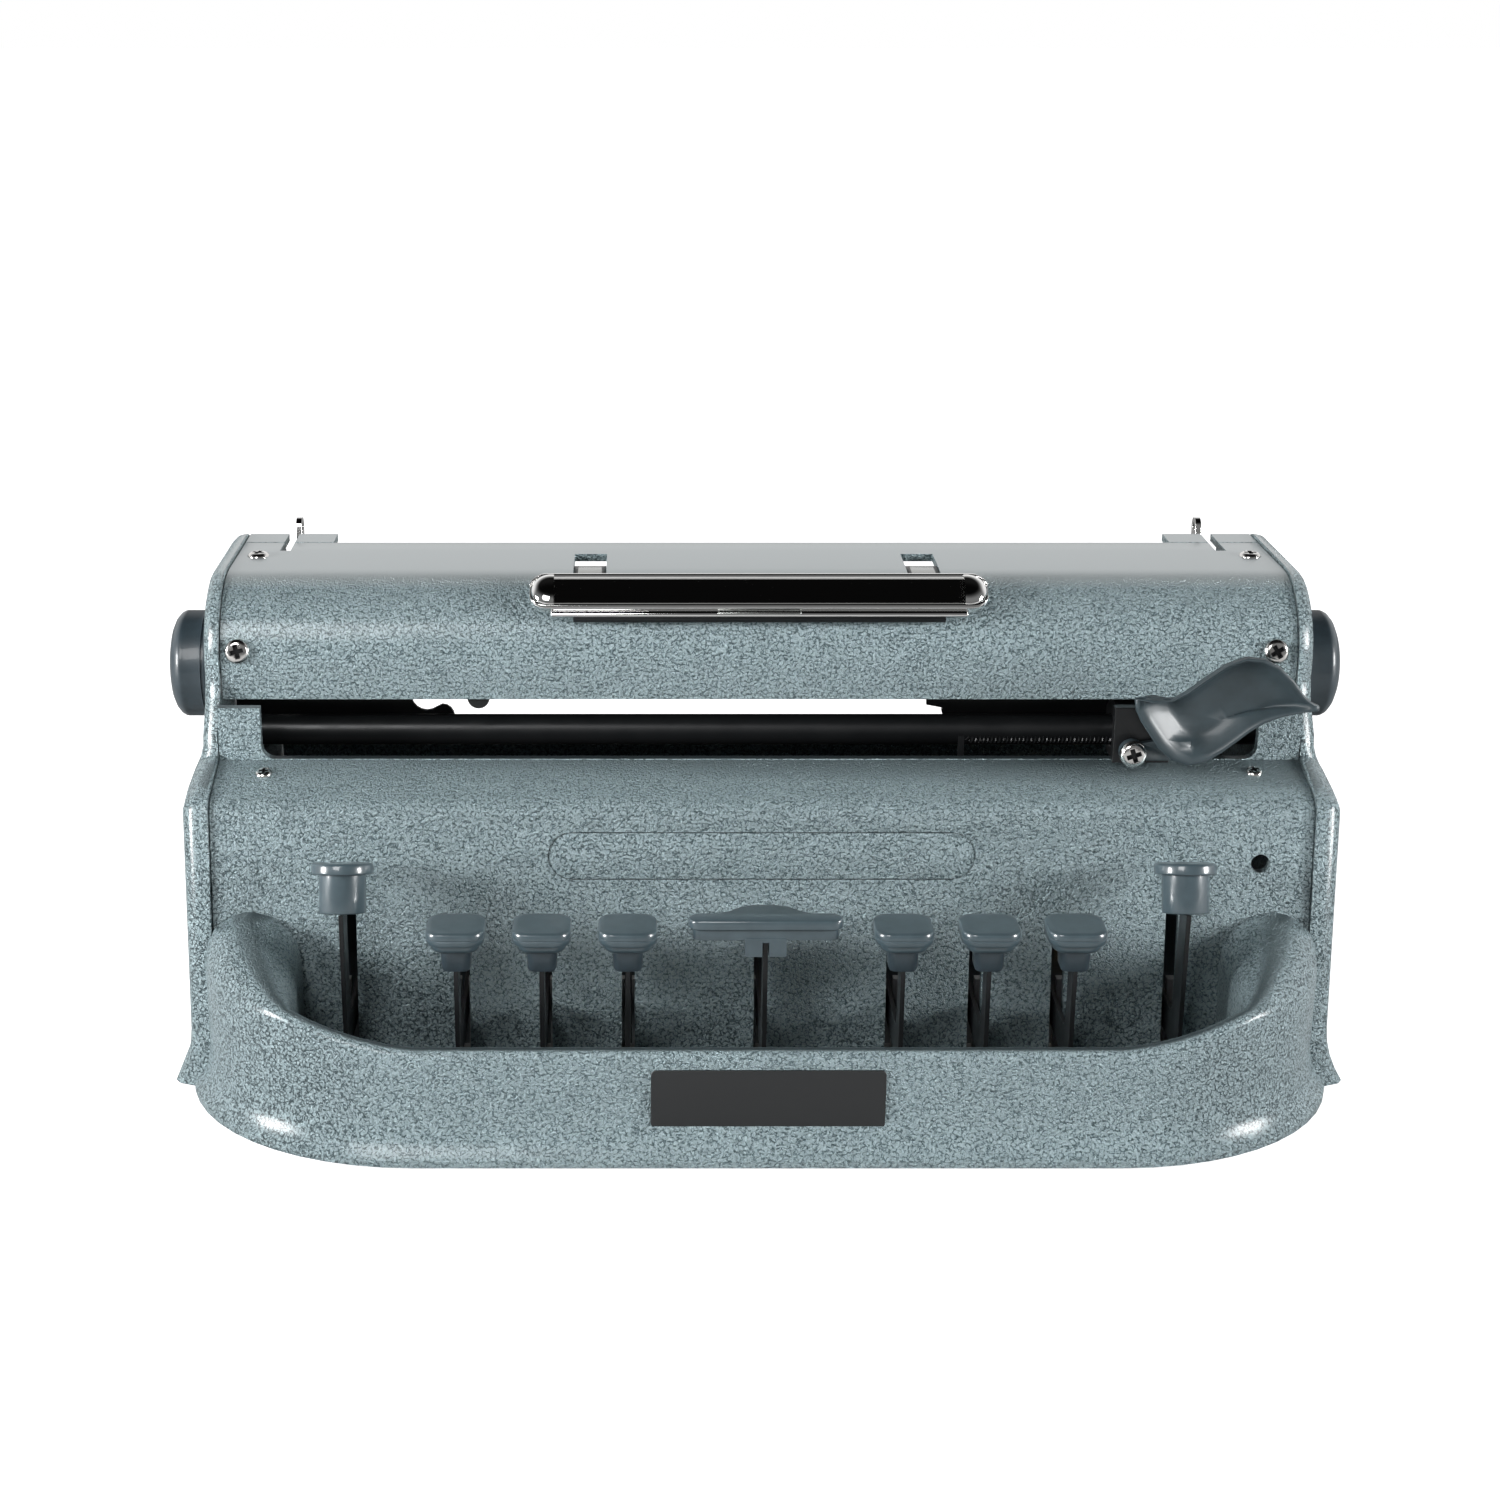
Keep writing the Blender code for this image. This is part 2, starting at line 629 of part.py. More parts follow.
def front_panel():
    path = [(PANEL_FOOT_Y, PANEL_FOOT_Z), (PANEL_TOP_Y, PANEL_TOP_Z), (SHELF_FRONT_Y, SHELF_FRONT_Z)]
    path += [(SHELF_REAR_Y, SHELF_REAR_Z)]
    bm = bmesh.new()
    prism(bm, ribbon(path, FRAME_WALL), "X", -INSIDE, INSIDE)
    panel = piece("front_panel", bm, "hammered_grey")
    frame = bmesh.new()
    corner_z = WINDOW_LOW_Z + WINDOW_CORNER_R
    corner_x = WINDOW_HALF - WINDOW_CORNER_R
    outline = [(-INSIDE, FRAME_LOW_Z), (INSIDE, FRAME_LOW_Z), (INSIDE, FRAME_TOP_Z)]
    outline += [(WINDOW_HALF, FRAME_TOP_Z)]
    outline += arc(corner_x, corner_z, WINDOW_CORNER_R, 0, -90, 4)
    outline += arc(-corner_x, corner_z, WINDOW_CORNER_R, -90, -180, 4)
    outline += [(-WINDOW_HALF, FRAME_TOP_Z), (-INSIDE, FRAME_TOP_Z)]
    prism(frame, outline, "Y", FRAME_FRONT_Y, FRAME_FRONT_Y + FRAME_WALL)
    join(panel, frame, "window_frame")
    slots = bmesh.new()
    for _, x, kind in key_places():
        top = SIDE_SLOT_TOP_Z if kind == "side" else SLOT_TOP_Z
        low = (x - SLOT_WIDTH / 2, PANEL_FOOT_Y - OVERRUN, SLOT_LOW_Z)
        box(slots, low, (x + SLOT_WIDTH / 2, PANEL_TOP_Y + OVERRUN, top))
    cut(panel, slots, "key_slots")
    hole = bmesh.new()
    rod(hole, SERVICE_HOLE_R, "Y", (SERVICE_HOLE_X, SERVICE_HOLE_Z), PANEL_FOOT_Y, PANEL_TOP_Y + FRAME_WALL)
    cut(panel, hole, "service_hole")
    recess = bmesh.new()
    end_r = RECESS_HEIGHT / 2
    outline = arc(RECESS_HALF - end_r, 0, end_r, -90, 90, 8)
    outline += arc(end_r - RECESS_HALF, 0, end_r, 90, 270, 8)
    prism(recess, outline, "Z", -RECESS_DEPTH, OVERRUN)
    slope = math.atan2(PANEL_TOP_Y - PANEL_FOOT_Y, PANEL_TOP_Z - PANEL_FOOT_Z)
    place = Matrix.Translation((0, panel_y(RECESS_Z), RECESS_Z))
    turn = Matrix.Rotation(math.pi / 2 - slope, 4, "X")
    bmesh.ops.transform(recess, matrix=place @ turn, verts=recess.verts)
    cut(panel, recess, "nameplate_recess")


def top_cover():
    path = [(DOME_Y - DOME_R, COVER_EDGE_Z)] + dome_arc(DOME_R, 180, 90, 12)
    path += arc(COVER_REAR_Y - COVER_LIP_R, DOME_Z + DOME_R - COVER_LIP_R, COVER_LIP_R, 90, 0, 3)
    path += [(COVER_REAR_Y, COVER_LIP_Z)]
    bm = bmesh.new()
    prism(bm, ribbon(path, COVER_WALL), "X", -INSIDE, INSIDE)
    cover = piece("top_cover", bm, "hammered_grey")
    roof = DOME_Z + DOME_R
    ears = bmesh.new()
    lugs = bmesh.new()
    slots = bmesh.new()
    for side in (-1, 1):
        inner, outer = sorted((side * EAR_INNER, side * INSIDE))
        box(ears, (inner, COVER_REAR_Y - COVER_WALL, roof - COVER_WALL), (outer, EAR_REAR_Y, roof))
        notch = side * RELEASE_X
        box(slots, (notch - NOTCH_HALF, NOTCH_FRONT_Y, COVER_LIP_Z - OVERRUN),
            (notch + NOTCH_HALF, EAR_REAR_Y + OVERRUN, roof + OVERRUN))
        arm = side * ARM_X
        half = ARM_SLOT_WIDTH / 2
        box(slots, (arm - half, DOME_Y - DOME_R - OVERRUN, ARM_SLOT_LOW_Z),
            (arm + half, ARM_SLOT_REAR_Y, roof + OVERRUN))
        root = roof - COVER_WALL / 2
        outline = [(REST_PIVOT_Y - REST_LUG_HALF, root), (REST_PIVOT_Y + REST_LUG_HALF, root)]
        outline += [(REST_PIVOT_Y + REST_LUG_TIP_HALF, REST_PIVOT_Z - REST_LUG_DROP)]
        outline += [(REST_PIVOT_Y - REST_LUG_TIP_HALF, REST_PIVOT_Z - REST_LUG_DROP)]
        near = ARM_X + half + SEAM
        low, high = sorted((side * near, side * (near + REST_LUG)))
        prism(lugs, outline, "X", low, high)
    join(cover, ears, "cover_ears")
    join(cover, lugs, "rest_lugs")
    cut(cover, slots, "cover_slots")


def rest_shaft():
    bm = bmesh.new()
    end = ARM_X + ARM_SLOT_WIDTH / 2 + SEAM - GAP
    rod(bm, REST_SHAFT_R, "X", (REST_PIVOT_Y, REST_PIVOT_Z), -end, end, 16)
    piece("rest_shaft", bm, "zinc_steel")


def rest_arm(name, x, holder):
    roof = DOME_R - ARM_SUNK
    path = []
    for i in range(7):
        degrees = math.degrees(REST_ANGLE) + 1 - 42 * i / 7
        lift = smooth((degrees - 104) / 16)
        radius = roof + (REST_BACK_R - GAP - roof) * lift
        path += arc(DOME_Y, DOME_Z, radius, degrees, degrees, 1)[:1]
    top = DOME_Z + roof
    path += [(DOME_Y, top), (ARM_FLAT_Y, top)]
    drop = top - REST_PIVOT_Z
    run = REST_PIVOT_Y + REST_EYE_R - ARM_FLAT_Y
    path += [(ARM_FLAT_Y + run * across, REST_PIVOT_Z + drop * up) for across, up in ARM_BEND_SHARES]
    bm = bmesh.new()
    prism(bm, ribbon(path, ARM_SHEET), "X", x - ARM_WIDTH / 2, x + ARM_WIDTH / 2)
    arm = piece(name, bm, "bright_chrome", holder)
    eye = bmesh.new()
    rod(eye, REST_EYE_R, "X", (REST_PIVOT_Y, REST_PIVOT_Z), x - ARM_WIDTH / 2, x + ARM_WIDTH / 2, 20)
    join(arm, eye, name + "_eye")
    bore = bmesh.new()
    ends = (x - ARM_WIDTH, x + ARM_WIDTH)
    rod(bore, REST_SHAFT_R + GAP, "X", (REST_PIVOT_Y, REST_PIVOT_Z), *ends, 16)
    cut(arm, bore, name + "_bore")


def reading_rest_bar(holder):
    """The bar's folded section, drawn in towards each end on a quarter round and capped."""
    outward = Vector((math.cos(REST_ANGLE), math.sin(REST_ANGLE)))
    down = Vector((-outward.y, outward.x))
    bm = bmesh.new()
    start = REST_HALF - REST_END_R
    stations = [(-start - REST_END_R * math.sin(turn), math.cos(turn)) for turn in REST_TURNS[::-1]]
    stations += [(-x, share) for x, share in stations[::-1]]
    loops = []
    for x, share in stations:
        loop = []
        for along, out in REST_BAR_SHARES:
            squeeze = 1 - REST_END_R / REST_BAR_LENGTH * (1 - share)
            place = Vector((DOME_Y, DOME_Z)) + outward * (REST_BACK_R + REST_BAR_LENGTH * out)
            place += down * REST_BAR_LENGTH * along * squeeze
            loop.append(bm.verts.new((x, place.x, place.y)))
        loops.append(loop)
    loft(bm, loops)
    piece("reading_rest_bar", bm, "bright_chrome", holder)


def loft(bm, loops):
    """Closed rings of equal count, bridged in turn and capped at both ends."""
    for before, after in zip(loops, loops[1:]):
        for i in range(len(before)):
            bm.faces.new((before[i - 1], before[i], after[i], after[i - 1]))
    bm.faces.new(loops[0])
    bm.faces.new(loops[-1])


def apron_point(degrees):
    """A point of the apron's wall in plan, and the direction outwards there."""
    angle = math.radians(degrees)
    x = APRON_CENTRE_X + APRON_RADIUS_X * math.cos(angle)
    place = Vector((x, APRON_CENTRE_Y - APRON_RADIUS_Y * math.sin(angle)))
    outward = Vector((math.cos(angle) / APRON_RADIUS_X, -math.sin(angle) / APRON_RADIUS_Y)).normalized()
    return place, outward


def apron_stations():
    """Stations round the apron from right to left: place, outward direction and angle."""
    span = 90 - APRON_START_DEG
    angles = [APRON_START_DEG + span * i / APRON_CORNER_STEPS for i in range(APRON_CORNER_STEPS + 1)]
    right = [(*apron_point(degrees), degrees) for degrees in angles]
    front = []
    for i in range(1, APRON_FRONT_STEPS):
        x = APRON_CENTRE_X * (1 - 2 * i / APRON_FRONT_STEPS)
        front.append((Vector((x, APRON_CENTRE_Y - APRON_RADIUS_Y)), Vector((0, -1)), 90))
    left = []
    for place, outward, degrees in right[::-1]:
        left.append((Vector((-place.x, place.y)), Vector((-outward.x, outward.y)), degrees))
    return right + front + left


def apron_section(place, outward, degrees):
    """The apron's wall at a station, as (distance outwards, height), with its foot and rolled rim."""
    rise = (1 - math.sin(math.radians(degrees))) ** APRON_HORN_POWER
    height = APRON_FRONT_HEIGHT + APRON_HORN_RISE * rise
    wall = APRON_WALL
    if abs(place.x) > APRON_HORN_INNER_X:
        wall = max(APRON_WALL, (abs(place.x) - APRON_HORN_INNER_X) / abs(outward.x))
    rim = min(APRON_RIM_R, wall * APRON_RIM_SHARE)
    section = [(APRON_FLARE * out, UNDERSIDE + FLARE_HEIGHT * up) for out, up in FLARE_SHARES]
    section += arc(-rim, height - rim, rim, 0, 90, 5)
    section += arc(rim - wall, height - rim, rim, 90, 180, 4)
    return section + [(-wall, UNDERSIDE)]


def base_casting():
    bm = bmesh.new()
    loops = []
    for place, outward, degrees in apron_stations():
        loop = []
        for out, z in apron_section(place, outward, degrees):
            point = place + outward * out
            loop.append(bm.verts.new((point.x, point.y, z)))
        loops.append(loop)
    loft(bm, loops)
    base = piece("base_casting", bm, "hammered_grey")
    behind = bmesh.new()
    top = APRON_FRONT_HEIGHT + APRON_HORN_RISE + OVERRUN
    low_z = UNDERSIDE - OVERRUN
    outline = [(panel_y(low_z) - GAP, low_z), (panel_y(top) - GAP, top), (0, top), (0, low_z)]
    prism(behind, outline, "X", -SIDE_FOOT - OVERRUN, SIDE_FOOT + OVERRUN)
    cut(base, behind, "panel_space")
    beside = bmesh.new()
    for side in (-1, 1):
        low, high = sorted((side * INSIDE, side * (SIDE_FOOT + OVERRUN)))
        outline = [(SIDE_FRONT_Y - GAP + (low_z - UNDERSIDE) * SIDE_LEAN, low_z), (0, low_z), (0, top)]
        outline += [(SIDE_FRONT_Y - GAP + (top - UNDERSIDE) * SIDE_LEAN, top)]
        prism(beside, outline, "X", low, high)
    cut(base, beside, "side_panel_space")
    floor = bmesh.new()
    points = [(INSIDE, REAR_Y), (INSIDE, SIDE_FRONT_Y)]
    for place, outward, degrees in apron_stations():
        inset = place - outward * APRON_WALL / 2
        if inset.y < SIDE_FRONT_Y:
            points.append((max(-INSIDE, min(INSIDE, inset.x)), inset.y))
    points += [(-INSIDE, SIDE_FRONT_Y), (-INSIDE, REAR_Y)]
    prism(floor, points, "Z", FLOOR_LOW, FLOOR_TOP)
    join(base, floor, "floor_pan")
    post = bmesh.new()
    root = FLOOR_TOP - FRAME_WALL / 2
    rod(post, HAMMER_POST_R, "Z", (hammer_x(), HAMMER_Y), root, HAMMER_POST_TOP_Z, 16)
    join(base, post, "hammer_post")
    pockets = bmesh.new()
    for x, y in foot_places():
        rod(pockets, FOOT_R + GAP, "Z", (x, y), UNDERSIDE - OVERRUN, FOOT_HEIGHT + GAP)
    cut(base, pockets, "foot_pockets")


def foot_places():
    front = [(side * FOOT_FRONT_X, FOOT_FRONT_Y) for side in (-1, 1)]
    return front + [(side * FOOT_REAR_X, FOOT_REAR_Y) for side in (-1, 1)]


def rubber_feet():
    names = ("front_left", "front_right", "rear_left", "rear_right")
    for name, (x, y) in zip(names, foot_places()):
        bm = bmesh.new()
        profile = [(0, 0), (FOOT_R - FOOT_TAPER, 0), (FOOT_R, FOOT_TAPER)]
        profile += [(FOOT_R, FOOT_HEIGHT), (0, FOOT_HEIGHT)]
        turned(bm, profile, "Z", (x, y), 24)
        piece(f"{name}_foot", bm, "black_rubber")


def rear_panel():
    bm = bmesh.new()
    low = (-INSIDE, REAR_Y - FRAME_WALL, FLOOR_TOP + GAP)
    box(bm, low, (INSIDE, REAR_Y, REAR_PANEL_TOP_Z))
    panel = piece("rear_panel", bm, "hammered_grey")
    ears = bmesh.new()
    pins = bmesh.new()
    for side in (-1, 1):
        near = HANDLE_HALF + HANDLE_LEG_WIDTH / 2 + GAP
        low, high = sorted((side * near, side * (near + EAR_PLATE)))
        outline = [(REAR_Y - FRAME_WALL / 2, HANDLE_Z - EAR_DROP), (HANDLE_Y, HANDLE_Z - EAR_DROP)]
        outline += arc(HANDLE_Y, HANDLE_Z, EAR_DROP, -80, 80, 6)
        outline += [(HANDLE_Y, HANDLE_Z + EAR_DROP), (REAR_Y - FRAME_WALL / 2, HANDLE_Z + EAR_DROP)]
        prism(ears, outline, "X", low, high)
        ends = sorted((side * (near + EAR_PLATE / 2), side * (HANDLE_HALF - HANDLE_LEG_WIDTH / 2 - GAP)))
        rod(pins, HANDLE_PIN_R, "X", (HANDLE_Y, HANDLE_Z), *ends, 16)
    join(panel, ears, "handle_ears")
    join(panel, pins, "handle_pins")


def paper_table():
    path = [(TABLE_FRONT_Y, TABLE_FRONT_Z - TABLE_LIP), (TABLE_FRONT_Y, TABLE_FRONT_Z)]
    path += [(TABLE_REAR_Y, TABLE_REAR_Z)]
    bm = bmesh.new()
    prism(bm, ribbon(path, TABLE_SHEET), "X", -INSIDE, INSIDE)
    piece("paper_table", bm, "zinc_steel")


def roller_guides():
    """Two black plates that turn the paper's edge up. The window shows their free ends."""
    left = [(-INSIDE, GUIDE_LOW_Z), (-INSIDE, GUIDE_TOP_Z), (LEFT_GUIDE_END_X, GUIDE_TOP_Z)]
    dip_x = LEFT_GUIDE_END_X + GUIDE_DIP_R
    dip_z = GUIDE_LOW_Z + GUIDE_BUMP_R + GUIDE_DIP_R * GUIDE_DIP_SHARE
    left += arc(dip_x, dip_z, GUIDE_DIP_R, 190, 290, 5)
    left += arc(dip_x + GUIDE_DIP_R, GUIDE_LOW_Z, GUIDE_BUMP_R, 90, 0, 4)
    right = [(INSIDE, GUIDE_LOW_Z), (INSIDE, GUIDE_TOP_Z), (RIGHT_GUIDE_END_X, GUIDE_TOP_Z)]
    right += [(RIGHT_GUIDE_END_X, GUIDE_LOW_Z + GUIDE_BUMP_R)]
    toe_r = GUIDE_BUMP_R / 2
    right += arc(RIGHT_GUIDE_END_X + GUIDE_STEP, GUIDE_LOW_Z + toe_r, toe_r, 150, 270, 4)
    for name, outline in (("left_roller_guide", left), ("right_roller_guide", right)):
        bm = bmesh.new()
        prism(bm, outline, "Y", GUIDE_FRONT_Y, GUIDE_FRONT_Y + GUIDE_SHEET)
        piece(name, bm, "black_steel")


def carriage_rail():
    bm = bmesh.new()
    rod(bm, RAIL_R, "X", (RAIL_Y, RAIL_Z), -INSIDE, INSIDE, 24)
    piece("carriage_rail", bm, "black_steel")


def carriage_rack():
    """The bar that steps the carriage: one tooth a cell, and two lugs that hold the spring."""
    rear = RACK_FRONT_Y + RACK_DEPTH
    outline = [(-INSIDE, RACK_FRONT_Y), (INSIDE, RACK_FRONT_Y), (INSIDE, rear)]
    teeth = round(2 * RACK_HALF / CELL_PITCH)
    for i in range(teeth):
        x = RACK_HALF - CELL_PITCH * i
        outline += [(x, rear), (x - CELL_PITCH, rear - RACK_TOOTH)]
    outline += [(RACK_HALF - CELL_PITCH * teeth - SEAM, rear), (-INSIDE, rear)]
    bm = bmesh.new()
    prism(bm, outline, "Z", RACK_LOW_Z, RACK_TOP_Z)
    rack = piece("carriage_rack", bm, "black_steel")
    lugs = bmesh.new()
    left, right = spring_ends()
    for near, far in ((left - GAP - SPRING_LUG, left - GAP), (right + GAP, right + GAP + SPRING_LUG)):
        low = (near, RACK_FRONT_Y + SEAM, RACK_TOP_Z - FRAME_WALL)
        box(lugs, low, (far, rear - RACK_TOOTH - SEAM / 2, SPRING_LUG_TOP_Z))
    join(rack, lugs, "spring_lugs")


def spring_ends():
    return SPRING_LEFT_X, SPRING_LEFT_X + SPRING_PITCH * (SPRING_CURLS + 2)


def spring_points():
    """A close coil about a line along X, with straight ends on that line."""
    y = RACK_FRONT_Y + RACK_DEPTH / 2
    left, right = spring_ends()
    points = [(left, y, SPRING_Z), (left + SPRING_WIRE_R * 2, y, SPRING_Z)]
    for i in range(SPRING_CURLS * CURL_POINTS + 1):
        turn = math.tau * i / CURL_POINTS
        x = left + SPRING_PITCH * (1 + i / CURL_POINTS)
        points.append((x, y + SPRING_R * math.sin(turn), SPRING_Z + SPRING_R * math.cos(turn)))
    return points + [(right - SPRING_WIRE_R * 2, y, SPRING_Z), (right, y, SPRING_Z)]


def rack_spring():
    points = spring_points()
    curve = bpy.data.curves.new("rack_spring", "CURVE")
    curve.dimensions = "3D"
    curve.bevel_depth = SPRING_WIRE_R
    curve.bevel_resolution = 1
    curve.use_fill_caps = True
    spline = curve.splines.new("POLY")
    spline.points.add(len(points) - 1)
    for place, point in zip(spline.points, points):
        place.co = (*point, 1)
    item = bpy.data.objects.new("rack_spring", curve)
    bpy.context.scene.collection.objects.link(item)
    curve.materials.append(finish_of("rack_spring", "black_steel"))
    turn = points[2 : 2 + CURL_POINTS * 3]
    ahead = range(CURL_POINTS // 2, CURL_POINTS * 2)
    least = min((Vector(turn[0]) - Vector(turn[i])).length for i in ahead) - 2 * SPRING_WIRE_R
    print(f"rack_spring: least gap to itself {least * 1000:.2f} mm")


def key_shaft():
    bm = bmesh.new()
    rod(bm, KEY_SHAFT_R, "X", (KEY_PIVOT_Y, KEY_PIVOT_Z), -INSIDE, INSIDE, 20)
    piece("key_shaft", bm, "zinc_steel")


def lever_comb():
    """A plate with one slot a key, open at the top, that keeps the levers upright."""
    outline = [(-COMB_HALF, COMB_LOW_Z), (-COMB_HALF, COMB_TOP_Z)]
    for _, x, _ in key_places():
        left = x - COMB_SLOT_WIDTH / 2
        right = x + COMB_SLOT_WIDTH / 2
        outline += [(left, COMB_TOP_Z), (left, COMB_SLOT_Z), (right, COMB_SLOT_Z), (right, COMB_TOP_Z)]
    outline += [(COMB_HALF, COMB_TOP_Z), (COMB_HALF, COMB_LOW_Z)]
    bm = bmesh.new()
    prism(bm, outline, "Y", COMB_Y, COMB_Y + FRAME_WALL)
    piece("lever_comb", bm, "zinc_steel")


def tier_bottom(kind):
    top = SPACE_TOP_Z if kind == "space" else CAP_TOP_Z
    return top - CAP_DISC - CAP_TIER


def side_cap_spot(up, back):
    """A point of a side key's cap, given up and back from the middle of its top face."""
    y = SIDE_CAP_Y + up * math.sin(SIDE_CAP_TILT) + back * math.cos(SIDE_CAP_TILT)
    z = SIDE_CAP_TOP_Z + up * math.cos(SIDE_CAP_TILT) - back * math.sin(SIDE_CAP_TILT)
    return y, z


def stem_corners(kind):
    """Top corners of a lever's stem, front and rear, and its width."""
    if kind == "side":
        seat = -(SIDE_CAP_DISC + SIDE_CAP_BODY + GAP)
        half = SIDE_STEM_WIDTH / 2
        return side_cap_spot(seat, -half), side_cap_spot(seat, half), SIDE_STEM_FRONT_Y, SIDE_STEM_WIDTH
    front = SPACE_STEM_FRONT_Y if kind == "space" else STEM_FRONT_Y
    top = tier_bottom(kind) - SEAM - GAP
    return (front, top), (front + STEM_WIDTH, top), front, STEM_WIDTH


def key_lever(name, x, kind, holder):
    """A steel plate: a stem up into the cap, a corner, and an arm back to its eye."""
    front, rear, stem_y, width = stem_corners(kind)
    corner_y = stem_y + width
    fillet = LEVER_FILLET_R
    outline = [front] + arc(stem_y + fillet, LEVER_LOW_Z + fillet, fillet, 180, 270, 4)
    lean = math.degrees(math.asin((KEY_PIVOT_Z - LEVER_LOW_Z) / LEVER_EYE_R))
    outline += arc(KEY_PIVOT_Y, KEY_PIVOT_Z, LEVER_EYE_R, 180 + lean, 540 - lean, 14)
    outline += arc(corner_y + fillet, LEVER_HIGH_Z + fillet, fillet, 270, 180, 4) + [rear]
    bm = bmesh.new()
    prism(bm, outline, "X", x - LEVER_PLATE / 2, x + LEVER_PLATE / 2)
    lever = piece(f"{name}_lever", bm, "black_steel", holder)
    bore = bmesh.new()
    rod(bore, KEY_SHAFT_R + TURNING_GAP, "X", (KEY_PIVOT_Y, KEY_PIVOT_Z), x - OVERRUN, x + OVERRUN, 20)
    cut(lever, bore, name + "_bore")


def cap_levels(top, tier_inset):
    """Inset and height of each ring of a moulded cap: eased top edge, disc, and the tier under it."""
    tier_z = top - CAP_DISC
    ease = CAP_EDGE * CAP_EDGE_SHARE
    levels = [(CAP_EDGE, top), (ease, top - ease), (0, top - CAP_EDGE)]
    levels += [(0, tier_z + CAP_UNDERCUT), (CAP_UNDERCUT, tier_z)]
    return levels + [(tier_inset, tier_z), (tier_inset, tier_z - CAP_TIER)]


def socket(cap, name, low, high):
    """The block under a cap, with the notch that takes the lever's stem."""
    block = bmesh.new()
    box(block, low, high)
    join(cap, block, name + "_socket")
    notch = bmesh.new()
    middle = (low[0] + high[0]) / 2
    half = LEVER_PLATE / 2 + GAP
    start = (middle - half, low[1] - OVERRUN, low[2] - OVERRUN)
    box(notch, start, (middle + half, high[1] + OVERRUN, high[2] - 2 * SEAM))
    cut(cap, notch, name + "_notch")


def square_outline(half_x, half_y):
    """A square with well-rounded corners."""
    outline = []
    for i in range(CAP_POINTS):
        angle = math.tau * i / CAP_POINTS
        across = abs(math.cos(angle)) ** CAP_CORNER_POWER
        back = abs(math.sin(angle)) ** CAP_CORNER_POWER
        outline.append((math.copysign(half_x * across, math.cos(angle)),
                        math.copysign(half_y * back, math.sin(angle))))
    return outline


def dot_cap(name, x, holder):
    bm = bmesh.new()
    loops = []
    for inset, z in cap_levels(CAP_TOP_Z, CAP_TIER_INSET):
        outline = square_outline(CAP_HALF_X - inset, CAP_HALF_Y - inset)
        loops.append([bm.verts.new((x + u, CAP_Y + v, z)) for u, v in outline])
    loft(bm, loops)
    cap = piece(f"{name}_cap", bm, "slate_plastic", holder)
    top = tier_bottom("dot")
    low = (x - CAP_BLOCK_HALF, CAP_Y - CAP_BLOCK_HALF, top - CAP_BLOCK_HEIGHT)
    socket(cap, name, low, (x + CAP_BLOCK_HALF, CAP_Y + CAP_BLOCK_HALF, top + SEAM))


def space_outline(inset):
    """The space bar in plan: a round-ended bar with a thumb bulge on its far side."""
    end_r = (SPACE_BACK_Y - SPACE_FRONT_Y) / 2 - inset
    middle = (SPACE_BACK_Y + SPACE_FRONT_Y) / 2
    reach = SPACE_HALF - inset - end_r
    outline = arc(-reach, middle, end_r, 90, 270, 6) + arc(reach, middle, end_r, -90, 90, 6)
    for i in range(9):
        share = 1 - i / 4
        rise = SPACE_BULGE * smooth((1 - abs(share)) * SPACE_BULGE_SLOPE)
        outline.append((SPACE_BULGE_HALF * share, SPACE_BACK_Y - inset + rise))
    return outline


def space_bar(holder):
    bm = bmesh.new()
    loops = []
    for inset, z in cap_levels(SPACE_TOP_Z, SPACE_TIER_INSET):
        loops.append([bm.verts.new((x, y, z)) for x, y in space_outline(inset)])
    loft(bm, loops)
    cap = piece("space_cap", bm, "slate_plastic", holder)
    top = tier_bottom("space")
    low = (-SPACE_BLOCK_HALF, SPACE_BLOCK_FRONT_Y, top - SPACE_BLOCK_HEIGHT)
    socket(cap, "space", low, (SPACE_BLOCK_HALF, CAP_Y + CAP_BLOCK_HALF, top + SEAM))


def side_cap(name, x, holder):
    body = SIDE_CAP_DISC + SIDE_CAP_BODY
    ease = CAP_EDGE * CAP_EDGE_SHARE
    profile = [(0, 0), (SIDE_CAP_R - CAP_EDGE, 0), (SIDE_CAP_R - ease, -ease), (SIDE_CAP_R, -CAP_EDGE)]
    profile += [(SIDE_CAP_R, CAP_UNDERCUT - SIDE_CAP_DISC), (SIDE_CAP_R - CAP_UNDERCUT, -SIDE_CAP_DISC)]
    profile += [(SIDE_CAP_BODY_R, -SIDE_CAP_DISC), (SIDE_CAP_BODY_R, CAP_UNDERCUT - body)]
    profile += [(SIDE_CAP_BODY_R - CAP_UNDERCUT, -body), (0, -body)]
    bm = bmesh.new()
    turned(bm, profile, "Z", (0, 0), 20)
    place = Matrix.Translation((x, SIDE_CAP_Y, SIDE_CAP_TOP_Z))
    tilt = Matrix.Rotation(-SIDE_CAP_TILT, 4, "X")
    bmesh.ops.transform(bm, matrix=place @ tilt, verts=bm.verts)
    piece(f"{name}_cap", bm, "slate_plastic", holder)


def keys():
    for name, x, kind in key_places():
        holder = joint_empty(f"{name}_pivot", (x, KEY_PIVOT_Y, KEY_PIVOT_Z))
        key_lever(name, x, kind, holder)
        if kind == "dot":
            dot_cap(name, x, holder)
        elif kind == "space":
            space_bar(holder)
        else:
            side_cap(name, x, holder)


